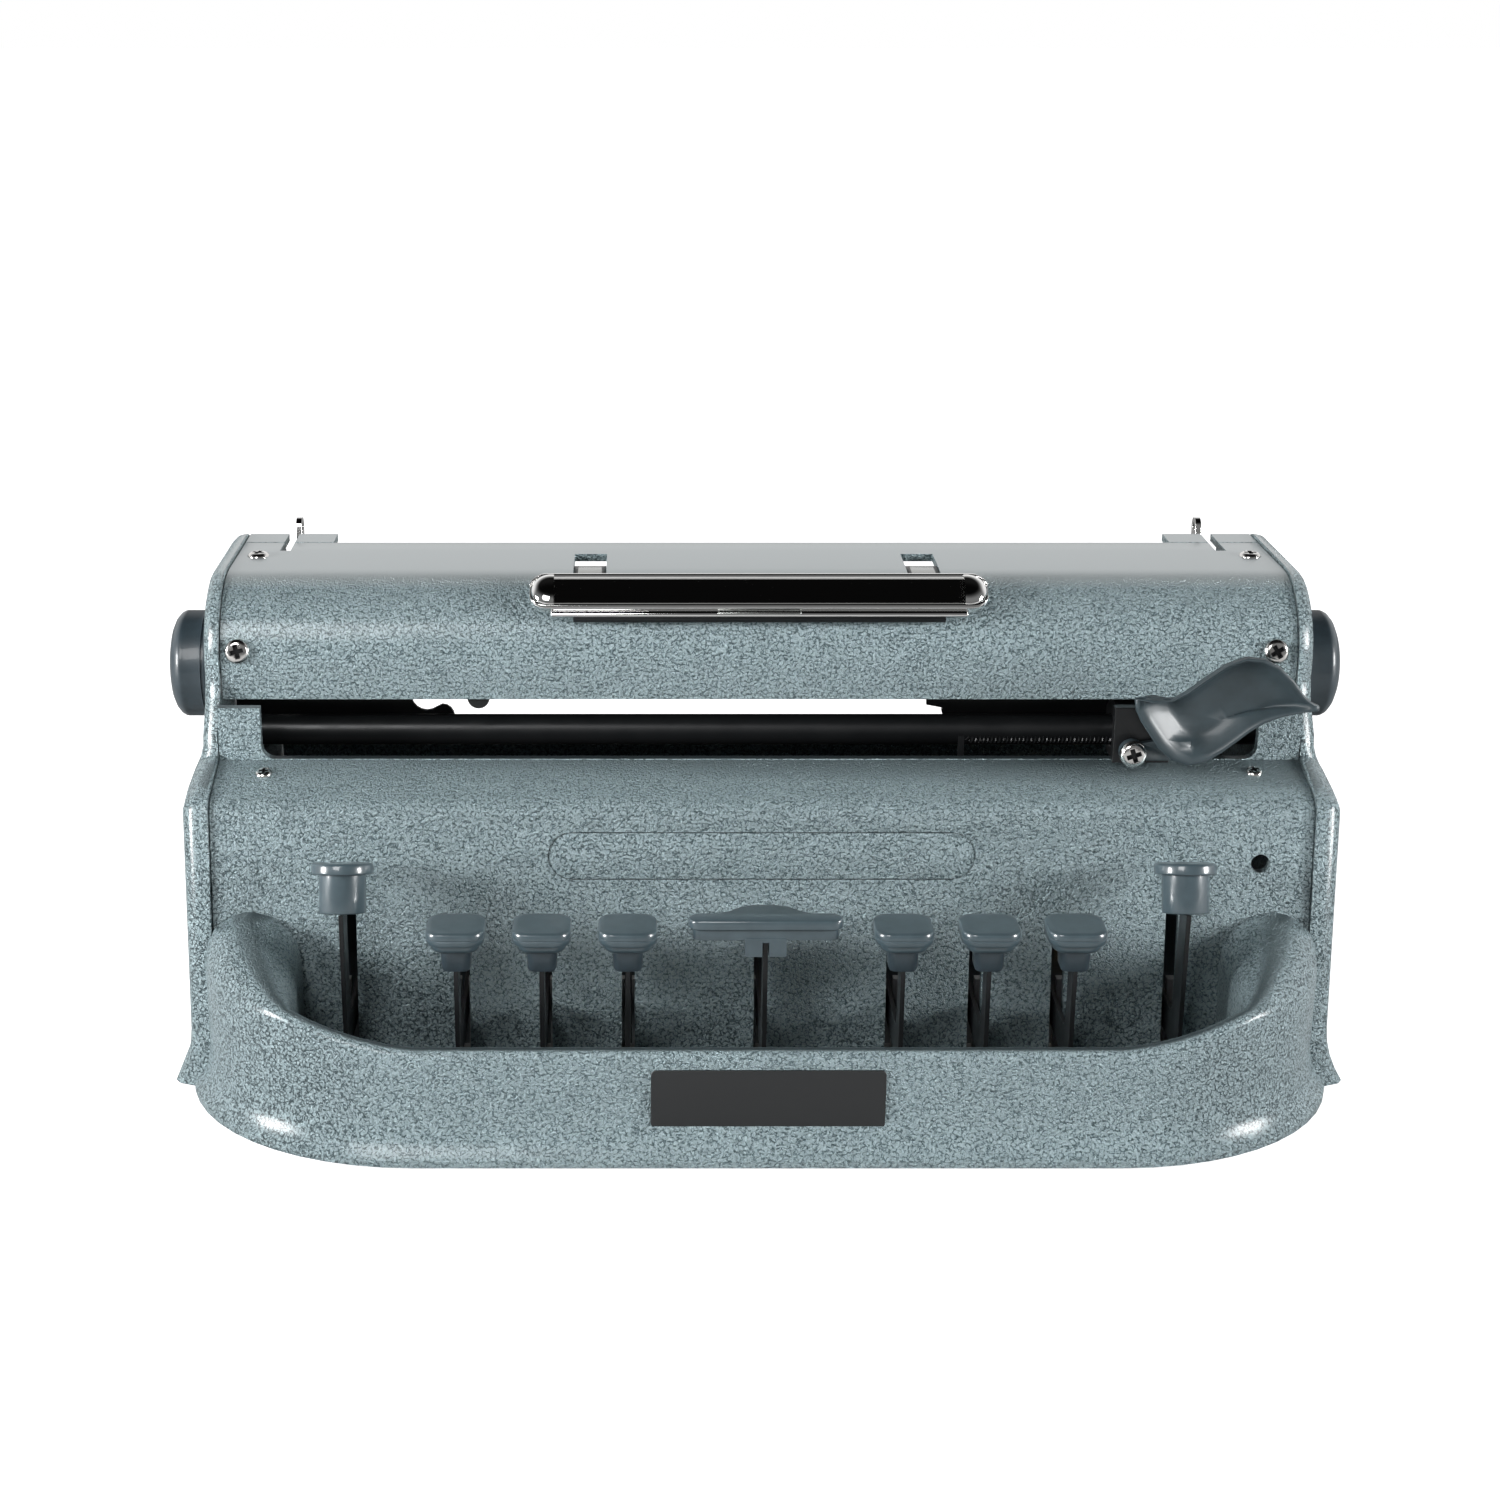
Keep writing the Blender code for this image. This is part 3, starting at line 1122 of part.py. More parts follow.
def carriage_body(holder):
    outline = [(CARRIAGE_FRONT_Y, CARRIAGE_ARM_LOW_Z), (CARRIAGE_FRONT_Y, CARRIAGE_TOP_Z)]
    outline += [(CARRIAGE_TOP_REAR_Y, CARRIAGE_TOP_Z), (CARRIAGE_SHOULDER_Y, CARRIAGE_SHOULDER_Z)]
    outline += [(CARRIAGE_SHOULDER_Y, CARRIAGE_ARM_TOP_Z), (CARRIAGE_ARM_REAR_Y, CARRIAGE_ARM_TOP_Z)]
    outline += [(CARRIAGE_ARM_REAR_Y, CARRIAGE_ARM_LOW_Z), (CARRIAGE_SHOULDER_Y, CARRIAGE_ARM_LOW_Z)]
    outline += [(CARRIAGE_LOW_HALF, CARRIAGE_LOW_Z), (-CARRIAGE_LOW_HALF, CARRIAGE_LOW_Z)]
    bm = bmesh.new()
    prism(bm, outline, "X", CARRIAGE_LEFT_X, CARRIAGE_RIGHT_X)
    body = piece("carriage_body", bm, "black_steel", holder)
    pawl = bmesh.new()
    root = CARRIAGE_LOW_Z + FRAME_WALL
    outline = [(PAWL_TIP_Y, PAWL_LOW_Z), (CARRIAGE_LOW_HALF, CARRIAGE_LOW_Z)]
    outline += [(CARRIAGE_LOW_HALF, root), (PAWL_TIP_Y, root)]
    prism(pawl, outline, "X", PAWL_LEFT_X, PAWL_LEFT_X + PAWL_WIDTH)
    join(body, pawl, "carriage_pawl")
    bore = bmesh.new()
    ends = (CARRIAGE_LEFT_X - OVERRUN, CARRIAGE_RIGHT_X + OVERRUN)
    rod(bore, RAIL_R + TURNING_GAP, "X", (RAIL_Y, RAIL_Z), *ends, 24)
    cut(body, bore, "carriage_bore")


def embossing_head(holder):
    top = CARRIAGE_ARM_LOW_Z - GAP
    waist = top - HEAD_WAIST
    outline = [(HEAD_FRONT_Y, waist), (HEAD_FRONT_Y + HEAD_WAIST, top)]
    rear = CARRIAGE_ARM_REAR_Y
    foot = HEAD_LOW_Z + HEAD_WAIST
    outline += [(rear - HEAD_WAIST, top), (rear, waist), (rear, foot), (rear - HEAD_WAIST, HEAD_LOW_Z)]
    outline += [(HEAD_FRONT_Y + HEAD_WAIST, HEAD_LOW_Z), (HEAD_FRONT_Y, foot)]
    bm = bmesh.new()
    prism(bm, outline, "X", HEAD_LEFT_X, HEAD_RIGHT_X)
    piece("embossing_head", bm, "zinc_steel", holder)


def lever_bracket(holder):
    """An upright plate in front of the window with the lever's pin, on an arm from the carriage."""
    back = BRACKET_FRONT_Y + BRACKET_PLATE
    bm = bmesh.new()
    low = (BRACKET_LEFT_X, BRACKET_FRONT_Y, BRACKET_LOW_Z)
    box(bm, low, (BRACKET_RIGHT_X, back, BRACKET_TOP_Z))
    bracket = piece("lever_bracket", bm, "black_steel", holder)
    arm = bmesh.new()
    low = (CARRIAGE_LEFT_X, back - SEAM, BRACKET_ARM_LOW_Z)
    box(arm, low, (BRACKET_RIGHT_X, CARRIAGE_FRONT_Y - GAP, BRACKET_ARM_TOP_Z))
    join(bracket, arm, "bracket_arm")
    pin = bmesh.new()
    ends = (BRACKET_FRONT_Y - HAND_PIN, BRACKET_FRONT_Y + BRACKET_PLATE / 2)
    rod(pin, HAND_PIN_R, "Y", (HAND_PIVOT_X, HAND_PIVOT_Z), *ends, 16)
    join(bracket, pin, "hand_pin")


def hand_ring(bm, shares, y):
    """One ring of the lever: its outline drawn in towards a point that slides down into the bowl."""
    size, _, slide = shares
    start, end = HAND_SLIDE_SHARES
    hub_u = start[0] + (end[0] - start[0]) * slide
    hub_v = start[1] + (end[1] - start[1]) * slide
    ring = []
    for u, v in HAND_OUTLINE_SHARES:
        x = HAND_CENTRE_X + HAND_HALF_LENGTH * (hub_u + (u - hub_u) * size)
        z = HAND_CENTRE_Z + HAND_HALF_HEIGHT * (hub_v + (v - hub_v) * size)
        ring.append(bm.verts.new((x, y, z)))
    return ring


def carriage_lever(holder):
    """The spoon-shaped finger lever: a flat rim, a dished face and a tang with the pivot boss."""
    bm = bmesh.new()
    loops = []
    for shares in HAND_RING_SHARES[::-1]:
        loops.append(hand_ring(bm, shares, HAND_RIM_Y + HAND_DISH * shares[1] + HAND_WALL))
    for y in (HAND_RIM_Y + HAND_RIM, HAND_RIM_Y + HAND_RIM / 4):
        loops.append(hand_ring(bm, (1, 0, 0), y))
    loops.append(hand_ring(bm, HAND_EDGE_SHARES, HAND_RIM_Y))
    for shares in HAND_RING_SHARES:
        loops.append(hand_ring(bm, shares, HAND_RIM_Y + HAND_DISH * shares[1]))
    loft(bm, loops)
    lever = piece("carriage_lever", bm, "slate_plastic", holder)
    back = BRACKET_FRONT_Y - GAP
    front = back - HAND_BOSS
    tang = bmesh.new()
    under = HAND_PIVOT_Z - HAND_TANG_HALF
    outline = [(HAND_PIVOT_X, under), (HAND_TANG_END_X, under)]
    outline += [(HAND_TANG_END_X + HAND_TANG_HALF, HAND_PIVOT_Z + 2 * HAND_TANG_HALF)]
    outline += [(HAND_PIVOT_X, HAND_PIVOT_Z + HAND_TANG_HALF)]
    prism(tang, outline, "Y", front + SEAM, back)
    join(lever, tang, "hand_tang")
    neck = bmesh.new()
    low = (HAND_TANG_END_X - HAND_TANG_HALF, HAND_NECK_Y, HAND_PIVOT_Z)
    high_z = HAND_PIVOT_Z + 2 * HAND_TANG_HALF
    box(neck, low, (HAND_TANG_END_X + HAND_TANG_HALF, back - SEAM, high_z))
    join(lever, neck, "hand_neck")
    boss = bmesh.new()
    rod(boss, HAND_BOSS_R, "Y", (HAND_PIVOT_X, HAND_PIVOT_Z), front, back, 20)
    join(lever, boss, "hand_boss")
    bore = bmesh.new()
    ends = (front - OVERRUN, back + OVERRUN)
    rod(bore, HAND_PIN_R + TURNING_GAP, "Y", (HAND_PIVOT_X, HAND_PIVOT_Z), *ends, 16)
    cut(lever, bore, "hand_bore")


def carriage():
    slide = joint_empty("carriage_slide", (CARRIAGE_LEFT_X, RAIL_Y, RAIL_Z))
    carriage_body(slide)
    embossing_head(slide)
    lever_bracket(slide)
    pivot = joint_empty("hand_pivot", (HAND_PIVOT_X, BRACKET_FRONT_Y, HAND_PIVOT_Z), slide)
    carriage_lever(pivot)


def knob(name, side, holder):
    """A knob with a blind bore and a rounded face."""
    depth = KNOB_FACE_X - KNOB_BARREL_X
    profile = [(0, SHAFT_HALF + GAP), (SHAFT_R + GAP, SHAFT_HALF + GAP), (SHAFT_R + GAP, KNOB_INNER_X)]
    profile += [(KNOB_R - KNOB_CHAMFER, KNOB_INNER_X), (KNOB_R, KNOB_INNER_X + KNOB_CHAMFER)]
    profile += [(KNOB_R, KNOB_BARREL_X)]
    profile += [(KNOB_R * share, KNOB_BARREL_X + depth * out) for share, out in KNOB_ROUND_SHARES]
    profile += [(0, KNOB_FACE_X)]
    bm = bmesh.new()
    turned(bm, [(radius, side * x) for radius, x in profile], "X", (ROLLER_Y, ROLLER_Z), KNOB_STEPS)
    piece(name, bm, "slate_plastic", holder)


def ratchet_wheel(holder):
    outline = []
    for i in range(RATCHET_TEETH):
        for radius, share in ((RATCHET_R, 0), (RATCHET_R - RATCHET_TOOTH, RATCHET_STEEP_SHARE)):
            angle = math.tau * (i + share) / RATCHET_TEETH
            outline.append((ROLLER_Y + radius * math.cos(angle), ROLLER_Z + radius * math.sin(angle)))
    bm = bmesh.new()
    prism(bm, outline, "X", RATCHET_LEFT_X, RATCHET_LEFT_X + RATCHET_WIDTH)
    wheel = piece("ratchet_wheel", bm, "zinc_steel", holder)
    bore = bmesh.new()
    ends = (RATCHET_LEFT_X - OVERRUN, RATCHET_LEFT_X + RATCHET_WIDTH + OVERRUN)
    rod(bore, SHAFT_R + GAP, "X", (ROLLER_Y, ROLLER_Z), *ends)
    cut(wheel, bore, "ratchet_bore")


def feed_roller():
    holder = joint_empty("feed_axis", (0, ROLLER_Y, ROLLER_Z))
    bm = bmesh.new()
    end = ROLLER_HALF
    face = ROLLER_R - ROLLER_CHAMFER
    profile = [(SHAFT_R + GAP, -end), (face, -end), (ROLLER_R, ROLLER_CHAMFER - end)]
    profile += [(ROLLER_R, end - ROLLER_CHAMFER), (face, end), (SHAFT_R + GAP, end)]
    turned(bm, profile, "X", (ROLLER_Y, ROLLER_Z), 32, closed=True)
    piece("paper_roller", bm, "black_rubber", holder)
    bm = bmesh.new()
    rod(bm, SHAFT_R, "X", (ROLLER_Y, ROLLER_Z), -SHAFT_HALF, SHAFT_HALF, 24)
    piece("feed_shaft", bm, "zinc_steel", holder)
    knob("left_knob", -1, holder)
    knob("right_knob", 1, holder)
    ratchet_wheel(holder)


def release_lever(name, side):
    x = side * RELEASE_X
    holder = joint_empty(f"{name}_pivot", (x, RELEASE_Y, RELEASE_Z))
    tip = (RELEASE_TIP_Y, RELEASE_TIP_Z)
    outline = link_outline((RELEASE_Y, RELEASE_Z), RELEASE_EYE_R, tip, RELEASE_TIP_R)
    bm = bmesh.new()
    prism(bm, outline, "X", x - RELEASE_PLATE / 2, x + RELEASE_PLATE / 2)
    lever = piece(name, bm, "bright_chrome", holder)
    holes = bmesh.new()
    ends = (x - RELEASE_PLATE, x + RELEASE_PLATE)
    rod(holes, RELEASE_PIN_R + TURNING_GAP, "X", (RELEASE_Y, RELEASE_Z), *ends, 20)
    rod(holes, RELEASE_HOLE_R, "X", (RELEASE_TIP_Y, RELEASE_TIP_Z), *ends, 14)
    cut(lever, holes, name + "_holes")


def reading_rest():
    holder = joint_empty("rest_pivot", (0, REST_PIVOT_Y, REST_PIVOT_Z))
    reading_rest_bar(holder)
    rest_arm("left_rest_arm", -ARM_X, holder)
    rest_arm("right_rest_arm", ARM_X, holder)


def margin_stops():
    bm = bmesh.new()
    low = (-MARGIN_HALF, REAR_Y + GAP, MARGIN_LOW_Z)
    box(bm, low, (MARGIN_HALF, REAR_Y + GAP + MARGIN_DEPTH, MARGIN_TOP_Z))
    piece("margin_bar", bm, "zinc_steel")
    near = REAR_Y + 2 * GAP + MARGIN_DEPTH
    far = near + STOP_SHEET
    over = MARGIN_TOP_Z + GAP
    for name, x in (("left_margin_stop", -STOP_X), ("right_margin_stop", STOP_X)):
        holder = joint_empty(f"{name}_slide", (x, near, MARGIN_TOP_Z))
        under = MARGIN_LOW_Z - GAP
        top = over + STOP_SHEET
        outline = [(REAR_Y + 2 * GAP, over), (near, over), (near, under), (far, under)]
        outline += [(far, top + STOP_TAB), (near, top + STOP_TAB), (near, top), (REAR_Y + 2 * GAP, top)]
        bm = bmesh.new()
        prism(bm, outline, "X", x - STOP_WIDTH / 2, x + STOP_WIDTH / 2)
        piece(name, bm, "bright_chrome", holder)


def carrying_handle():
    """A bail behind the rear panel: two flat legs with eyes, a rod between them and its grip."""
    holder = joint_empty("handle_pivot", (0, HANDLE_Y, HANDLE_Z))
    grip_z = HANDLE_Z - HANDLE_LEG
    outline = link_outline((HANDLE_Y, HANDLE_Z), HANDLE_EYE_R, (HANDLE_Y, grip_z), HANDLE_EYE_R)
    bm = bmesh.new()
    half = HANDLE_LEG_WIDTH / 2
    prism(bm, outline, "X", HANDLE_HALF - half, HANDLE_HALF + half)
    prism(bm, outline, "X", -HANDLE_HALF - half, half - HANDLE_HALF)
    bail = piece("handle_bail", bm, "zinc_steel", holder)
    bar = bmesh.new()
    rod(bar, HANDLE_ROD_R, "X", (HANDLE_Y, grip_z), -HANDLE_HALF, HANDLE_HALF, 16)
    join(bail, bar, "grip_rod")
    bores = bmesh.new()
    for side in (-1, 1):
        ends = sorted((side * (HANDLE_HALF - OVERRUN), side * (HANDLE_HALF + OVERRUN)))
        rod(bores, HANDLE_PIN_R + TURNING_GAP, "X", (HANDLE_Y, HANDLE_Z), *ends, 16)
    cut(bail, bores, "bail_bores")
    grip = bmesh.new()
    bore_r = HANDLE_ROD_R + GAP
    profile = [(bore_r, -GRIP_HALF), (GRIP_R, -GRIP_HALF)]
    for i in range(1, 8):
        x = GRIP_HALF * (i - 4) / 4
        profile.append((GRIP_R - GRIP_WAIST * (1 - abs(i - 4) % 2), x))
    profile += [(GRIP_R, GRIP_HALF), (bore_r, GRIP_HALF)]
    turned(grip, profile, "X", (HANDLE_Y, grip_z), 14, closed=True)
    piece("handle_grip", grip, "black_rubber", holder)


def line_bell():
    """A turned cup, mouth down, on a stem from the floor."""
    rim = BELL_RIM_Z
    crown = rim + BELL_CROWN
    outer = arc(0, rim, BELL_R, 0, 90, 6)
    squash = BELL_CROWN / BELL_R
    profile = [(0, FLOOR_TOP + GAP), (BELL_STEM_R, FLOOR_TOP + GAP)]
    inner_r = BELL_R - BELL_WALL
    inner = [(radius * inner_r / BELL_R, rim + (z - rim) * squash * inner_r / BELL_R) for radius, z in outer]
    profile += [(BELL_STEM_R, crown - BELL_WALL - SEAM)]
    profile += [point for point in inner[::-1] if point[0] > BELL_STEM_R]
    profile += [(radius, rim + (z - rim) * squash) for radius, z in outer[:-1]] + [(0, crown)]
    bm = bmesh.new()
    turned(bm, profile, "Z", (BELL_X, BELL_Y), 20)
    piece("line_bell", bm, "brass")


def hammer_x():
    return BELL_X - BELL_R - HAMMER_MISS - HAMMER_BALL_R


def bell_hammer():
    x = hammer_x()
    holder = joint_empty("hammer_pivot", (x, HAMMER_Y, HAMMER_LOW_Z))
    bm = bmesh.new()
    rod(bm, HAMMER_EYE_R, "Z", (x, HAMMER_Y), HAMMER_LOW_Z, HAMMER_HIGH_Z, 20)
    hammer = piece("bell_hammer", bm, "zinc_steel", holder)
    arm = bmesh.new()
    middle = (HAMMER_LOW_Z + HAMMER_HIGH_Z) / 2
    low = (x - HAMMER_ARM_HALF, HAMMER_Y + HAMMER_POST_R, middle - HAMMER_ARM_HALF)
    box(arm, low, (x + HAMMER_ARM_HALF, BELL_Y, middle + HAMMER_ARM_HALF))
    join(hammer, arm, "hammer_arm")
    ball = bmesh.new()
    bmesh.ops.create_icosphere(ball, subdivisions=2, radius=HAMMER_BALL_R)
    bmesh.ops.translate(ball, verts=ball.verts, vec=(x, BELL_Y, middle))
    join(hammer, ball, "hammer_ball")
    bore = bmesh.new()
    ends = (HAMMER_LOW_Z - OVERRUN, HAMMER_HIGH_Z + OVERRUN)
    rod(bore, HAMMER_POST_R + TURNING_GAP, "Z", (x, HAMMER_Y), *ends, 16)
    cut(hammer, bore, "hammer_bore")


def main():
    clear_scene()
    base_casting()
    rubber_feet()
    side_panel("left_side_panel", -1)
    side_panel("right_side_panel", 1)
    front_panel()
    top_cover()
    rear_panel()
    paper_table()
    roller_guides()
    carriage_rail()
    carriage_rack()
    rack_spring()
    key_shaft()
    lever_comb()
    keys()
    carriage()
    feed_roller()
    release_lever("left_release_lever", -1)
    release_lever("right_release_lever", 1)
    rest_shaft()
    reading_rest()
    margin_stops()
    carrying_handle()
    line_bell()
    bell_hammer()


main()
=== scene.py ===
import json
import math

import bmesh
import bpy
from mathutils import Matrix, Vector


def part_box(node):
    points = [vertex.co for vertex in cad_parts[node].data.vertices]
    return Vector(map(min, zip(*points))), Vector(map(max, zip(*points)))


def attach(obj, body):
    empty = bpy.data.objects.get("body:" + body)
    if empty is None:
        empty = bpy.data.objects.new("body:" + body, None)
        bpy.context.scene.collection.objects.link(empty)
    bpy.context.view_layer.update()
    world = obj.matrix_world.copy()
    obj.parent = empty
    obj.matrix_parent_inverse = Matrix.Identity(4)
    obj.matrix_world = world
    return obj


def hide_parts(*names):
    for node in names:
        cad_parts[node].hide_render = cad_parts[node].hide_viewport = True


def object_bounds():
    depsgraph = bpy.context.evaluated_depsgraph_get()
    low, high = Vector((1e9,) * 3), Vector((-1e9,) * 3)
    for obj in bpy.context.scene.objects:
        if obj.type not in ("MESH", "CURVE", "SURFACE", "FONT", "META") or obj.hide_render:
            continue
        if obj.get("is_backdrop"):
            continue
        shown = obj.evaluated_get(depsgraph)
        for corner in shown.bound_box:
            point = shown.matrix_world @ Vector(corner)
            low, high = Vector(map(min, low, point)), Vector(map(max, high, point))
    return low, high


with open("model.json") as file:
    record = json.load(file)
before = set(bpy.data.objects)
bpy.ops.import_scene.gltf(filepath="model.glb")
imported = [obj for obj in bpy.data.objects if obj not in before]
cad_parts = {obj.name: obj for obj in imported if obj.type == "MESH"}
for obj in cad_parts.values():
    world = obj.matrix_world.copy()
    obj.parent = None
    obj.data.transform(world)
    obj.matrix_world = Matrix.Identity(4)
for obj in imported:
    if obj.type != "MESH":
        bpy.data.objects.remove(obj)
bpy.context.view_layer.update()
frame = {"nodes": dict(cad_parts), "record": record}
scene = bpy.context.scene
scene.view_settings.view_transform = "Standard"

# The camera stands three quarters of a metre in front of the machine and looks down on it.
# The shift only moves the machine to where it lies in the picture.
CAMERA_PLACE = (-0.038, -0.750, 0.350)
CAMERA_DOWN = 19  # degrees
camera_data = bpy.data.cameras.new("camera")
camera_data.sensor_width = 36
camera_data.lens = 58.56
camera_data.shift_x = 0.0747
camera = bpy.data.objects.new("camera", camera_data)
camera.location = CAMERA_PLACE
camera.rotation_euler = (math.radians(90 - CAMERA_DOWN), 0, 0)
scene.collection.objects.link(camera)
scene.camera = camera

# Studio: a white backdrop behind the machine and a dark room above and in front, which is what the
# chrome and the enamel's gloss show. The camera itself sees plain white all round.
world = bpy.data.worlds.new("studio")
scene.world = world
world.use_nodes = True
sky = world.node_tree
sky.nodes.clear()


def shader_node(owner, kind, **values):
    """A new node of the world or of a material, with its settings and sockets filled in."""
    node = owner.node_tree.nodes.new(kind)
    for name, value in values.items():
        if name in node.inputs:
            node.inputs[name].default_value = value
        else:
            setattr(node, name, value)
    return node


def joined(owner, operation, first, second):
    """Two values put together by a sum of the named kind."""
    node = shader_node(owner, "ShaderNodeMath", operation=operation)
    owner.node_tree.links.new(first, node.inputs[0])
    owner.node_tree.links.new(second, node.inputs[1])
    return node.outputs[0]


def sky_range(source, start, end, low_value, high_value):
    """Runs smoothly from low_value, where the source is at start, to high_value at end."""
    node = shader_node(world, "ShaderNodeMapRange", interpolation_type="SMOOTHSTEP", **{
        "From Min": start, "From Max": end, "To Min": low_value, "To Max": high_value,
    })
    sky.links.new(source, node.inputs["Value"])
    return node.outputs["Result"]


def sky_mix(factor, first, second):
    """The first value where the factor is 0, and the second where it is 1."""
    node = shader_node(world, "ShaderNodeMix", data_type="FLOAT")
    for socket, value in zip(("Factor", "A", "B"), (factor, first, second)):
        if isinstance(value, float):
            node.inputs[socket].default_value = value
        else:
            sky.links.new(value, node.inputs[socket])
    return node.outputs["Result"]


direction = shader_node(world, "ShaderNodeSeparateXYZ")
sky.links.new(shader_node(world, "ShaderNodeTexCoord").outputs["Generated"], direction.inputs[0])
to_back, upwards = direction.outputs["Y"], direction.outputs["Z"]
rays = shader_node(world, "ShaderNodeLightPath").outputs
room = sky_range(to_back, start=-0.15, end=0.35, low_value=0.20, high_value=1.0)
ceiling = sky_range(upwards, start=0.50, end=0.86, low_value=1.0, high_value=0.01)
mirrored = joined(world, "MULTIPLY", room, ceiling)
backdrop = sky_range(to_back, start=0.05, end=0.70, low_value=0.03, high_value=0.70)
ambient = sky_mix(rays["Is Glossy Ray"], backdrop, mirrored)
straight = joined(world, "MAXIMUM", rays["Is Camera Ray"], rays["Is Transmission Ray"])
studio_light = shader_node(world, "ShaderNodeBackground", Color=(1, 1, 1, 1))
sky.links.new(sky_mix(straight, ambient, 1.0), studio_light.inputs["Strength"])
sky.links.new(studio_light.outputs[0], shader_node(world, "ShaderNodeOutputWorld").inputs[0])

# Lamps: two soft square ones stand low at the sides, and a weak one stands higher in front.
# All three face the middle of the machine.
LAMP_AIM = Vector((0, 0, 0.08))
for lamp_name, place, size, power in (
    ("left_lamp", (-1.195, -0.435, 0.350), 0.35, 19.8),
    ("right_lamp", (1.195, -0.435, 0.350), 0.35, 16.0),
    ("front_lamp", (-0.445, -0.955, 0.840), 0.50, 7.5),
):
    lamp_data = bpy.data.lights.new(lamp_name, "AREA")
    lamp_data.shape = "SQUARE"
    lamp_data.size = size
    lamp_data.energy = power
    lamp = bpy.data.objects.new(lamp_name, lamp_data)
    lamp.location = place
    lamp.rotation_euler = (LAMP_AIM - Vector(place)).to_track_quat("-Z", "Y").to_euler()
    scene.collection.objects.link(lamp)

# Table: a wide matt white top under the machine, which takes its shadow. It glows for the camera
# alone, so that it runs into the white backdrop.
TABLE_REACH = 6
table = bmesh.new()
bmesh.ops.create_grid(table, x_segments=1, y_segments=1, size=TABLE_REACH)
table_mesh = bpy.data.meshes.new("table_top")
table.to_mesh(table_mesh)
table.free()
table_top = bpy.data.objects.new("table_top", table_mesh)
scene.collection.objects.link(table_top)


def finish(name, colour, roughness, metallic=0.0, **sockets):
    """A material and its shader, with one even colour until a pattern is linked to it."""
    material = bpy.data.materials.new(name)
    material.use_nodes = True
    shader = material.node_tree.nodes["Principled BSDF"]
    shader.inputs["Base Color"].default_value = (*colour, 1)
    shader.inputs["Roughness"].default_value = roughness
    shader.inputs["Metallic"].default_value = metallic
    for socket, value in sockets.items():
        shader.inputs[socket.replace("_", " ")].default_value = value
    return material, shader


paint, paint_shader = finish("white_table", (0.55, 0.55, 0.55), 0.9, Specular_IOR_Level=0.1)
paint_glow = shader_node(paint, "ShaderNodeEmission", Strength=0.96)
paint_bright = shader_node(paint, "ShaderNodeAddShader")
paint_shown = shader_node(paint, "ShaderNodeMixShader")
paint_rays = shader_node(paint, "ShaderNodeLightPath").outputs
for source, socket in (
    (paint_shader.outputs[0], paint_bright.inputs[0]),
    (paint_glow.outputs[0], paint_bright.inputs[1]),
    (paint_rays["Is Camera Ray"], paint_shown.inputs[0]),
    (paint_shader.outputs[0], paint_shown.inputs[1]),
    (paint_bright.outputs[0], paint_shown.inputs[2]),
    (paint_shown.outputs[0], paint.node_tree.nodes["Material Output"].inputs[0]),
):
    paint.node_tree.links.new(source, socket)
table_mesh.materials.append(paint)
table_top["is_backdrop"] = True

# Housing: base with its apron, two side panels, front panel, cover and rear panel. They are cast
# aluminium and bent sheet under hammered grey-green enamel, whose film draws into small dark-edged
# cells on upright and sloping faces, and lies smooth on level ones. The level film's colour is
# painted light: dark low down, as painted shade on the shelf, and light high up, as a painted
# reflection on the roof.
BODY_OF = {
    node: body
    for body, nodes in frame["record"]["behaviour"]["bodies"].items()
    for node in nodes
}
MERGE_WITHIN = 1e-6
FLAT_WITHIN = math.radians(0.4)


def object_place(material):
    """Where a point lies on the machine at rest, which keeps a pattern still on its piece."""
    return shader_node(material, "ShaderNodeTexCoord").outputs["Object"]


def noise(material, place, scale, detail=1.0, roughness=0.5):
    """A cloudy pattern of the given number of clouds to the metre."""
    node = shader_node(material, "ShaderNodeTexNoise", Scale=scale, Detail=detail,
                       Roughness=roughness)
    material.node_tree.links.new(place, node.inputs["Vector"])
    return node


def scaled(material, source, factor, offset, clamp=False):
    """A value times a factor, plus an offset."""
    node = shader_node(material, "ShaderNodeMath", operation="MULTIPLY_ADD", use_clamp=clamp)
    material.node_tree.links.new(source, node.inputs[0])
    node.inputs[1].default_value = factor
    node.inputs[2].default_value = offset
    return node.outputs[0]


def height_of(material, source):
    """The upward share of a place or of a direction."""
    parts = shader_node(material, "ShaderNodeSeparateXYZ")
    material.node_tree.links.new(source, parts.inputs[0])
    return parts.outputs["Z"]


def ramp(material, source, stops):
    """A run of colours. The first stop is the lowest and the second the highest."""
    node = shader_node(material, "ShaderNodeValToRGB")
    points = node.color_ramp.elements
    for point, (place, colour) in zip(points, stops):
        point.position = place
        point.color = (*colour, 1)
    for place, colour in stops[2:]:
        points.new(place).color = (*colour, 1)
    material.node_tree.links.new(source, node.inputs["Fac"])
    return node.outputs["Color"]


def bump(material, source, shader, strength, depth):
    """Raises the surface where the pattern is light."""
    node = shader_node(material, "ShaderNodeBump", Strength=strength, Distance=depth)
    material.node_tree.links.new(source, node.inputs["Height"])
    material.node_tree.links.new(node.outputs[0], shader.inputs["Normal"])


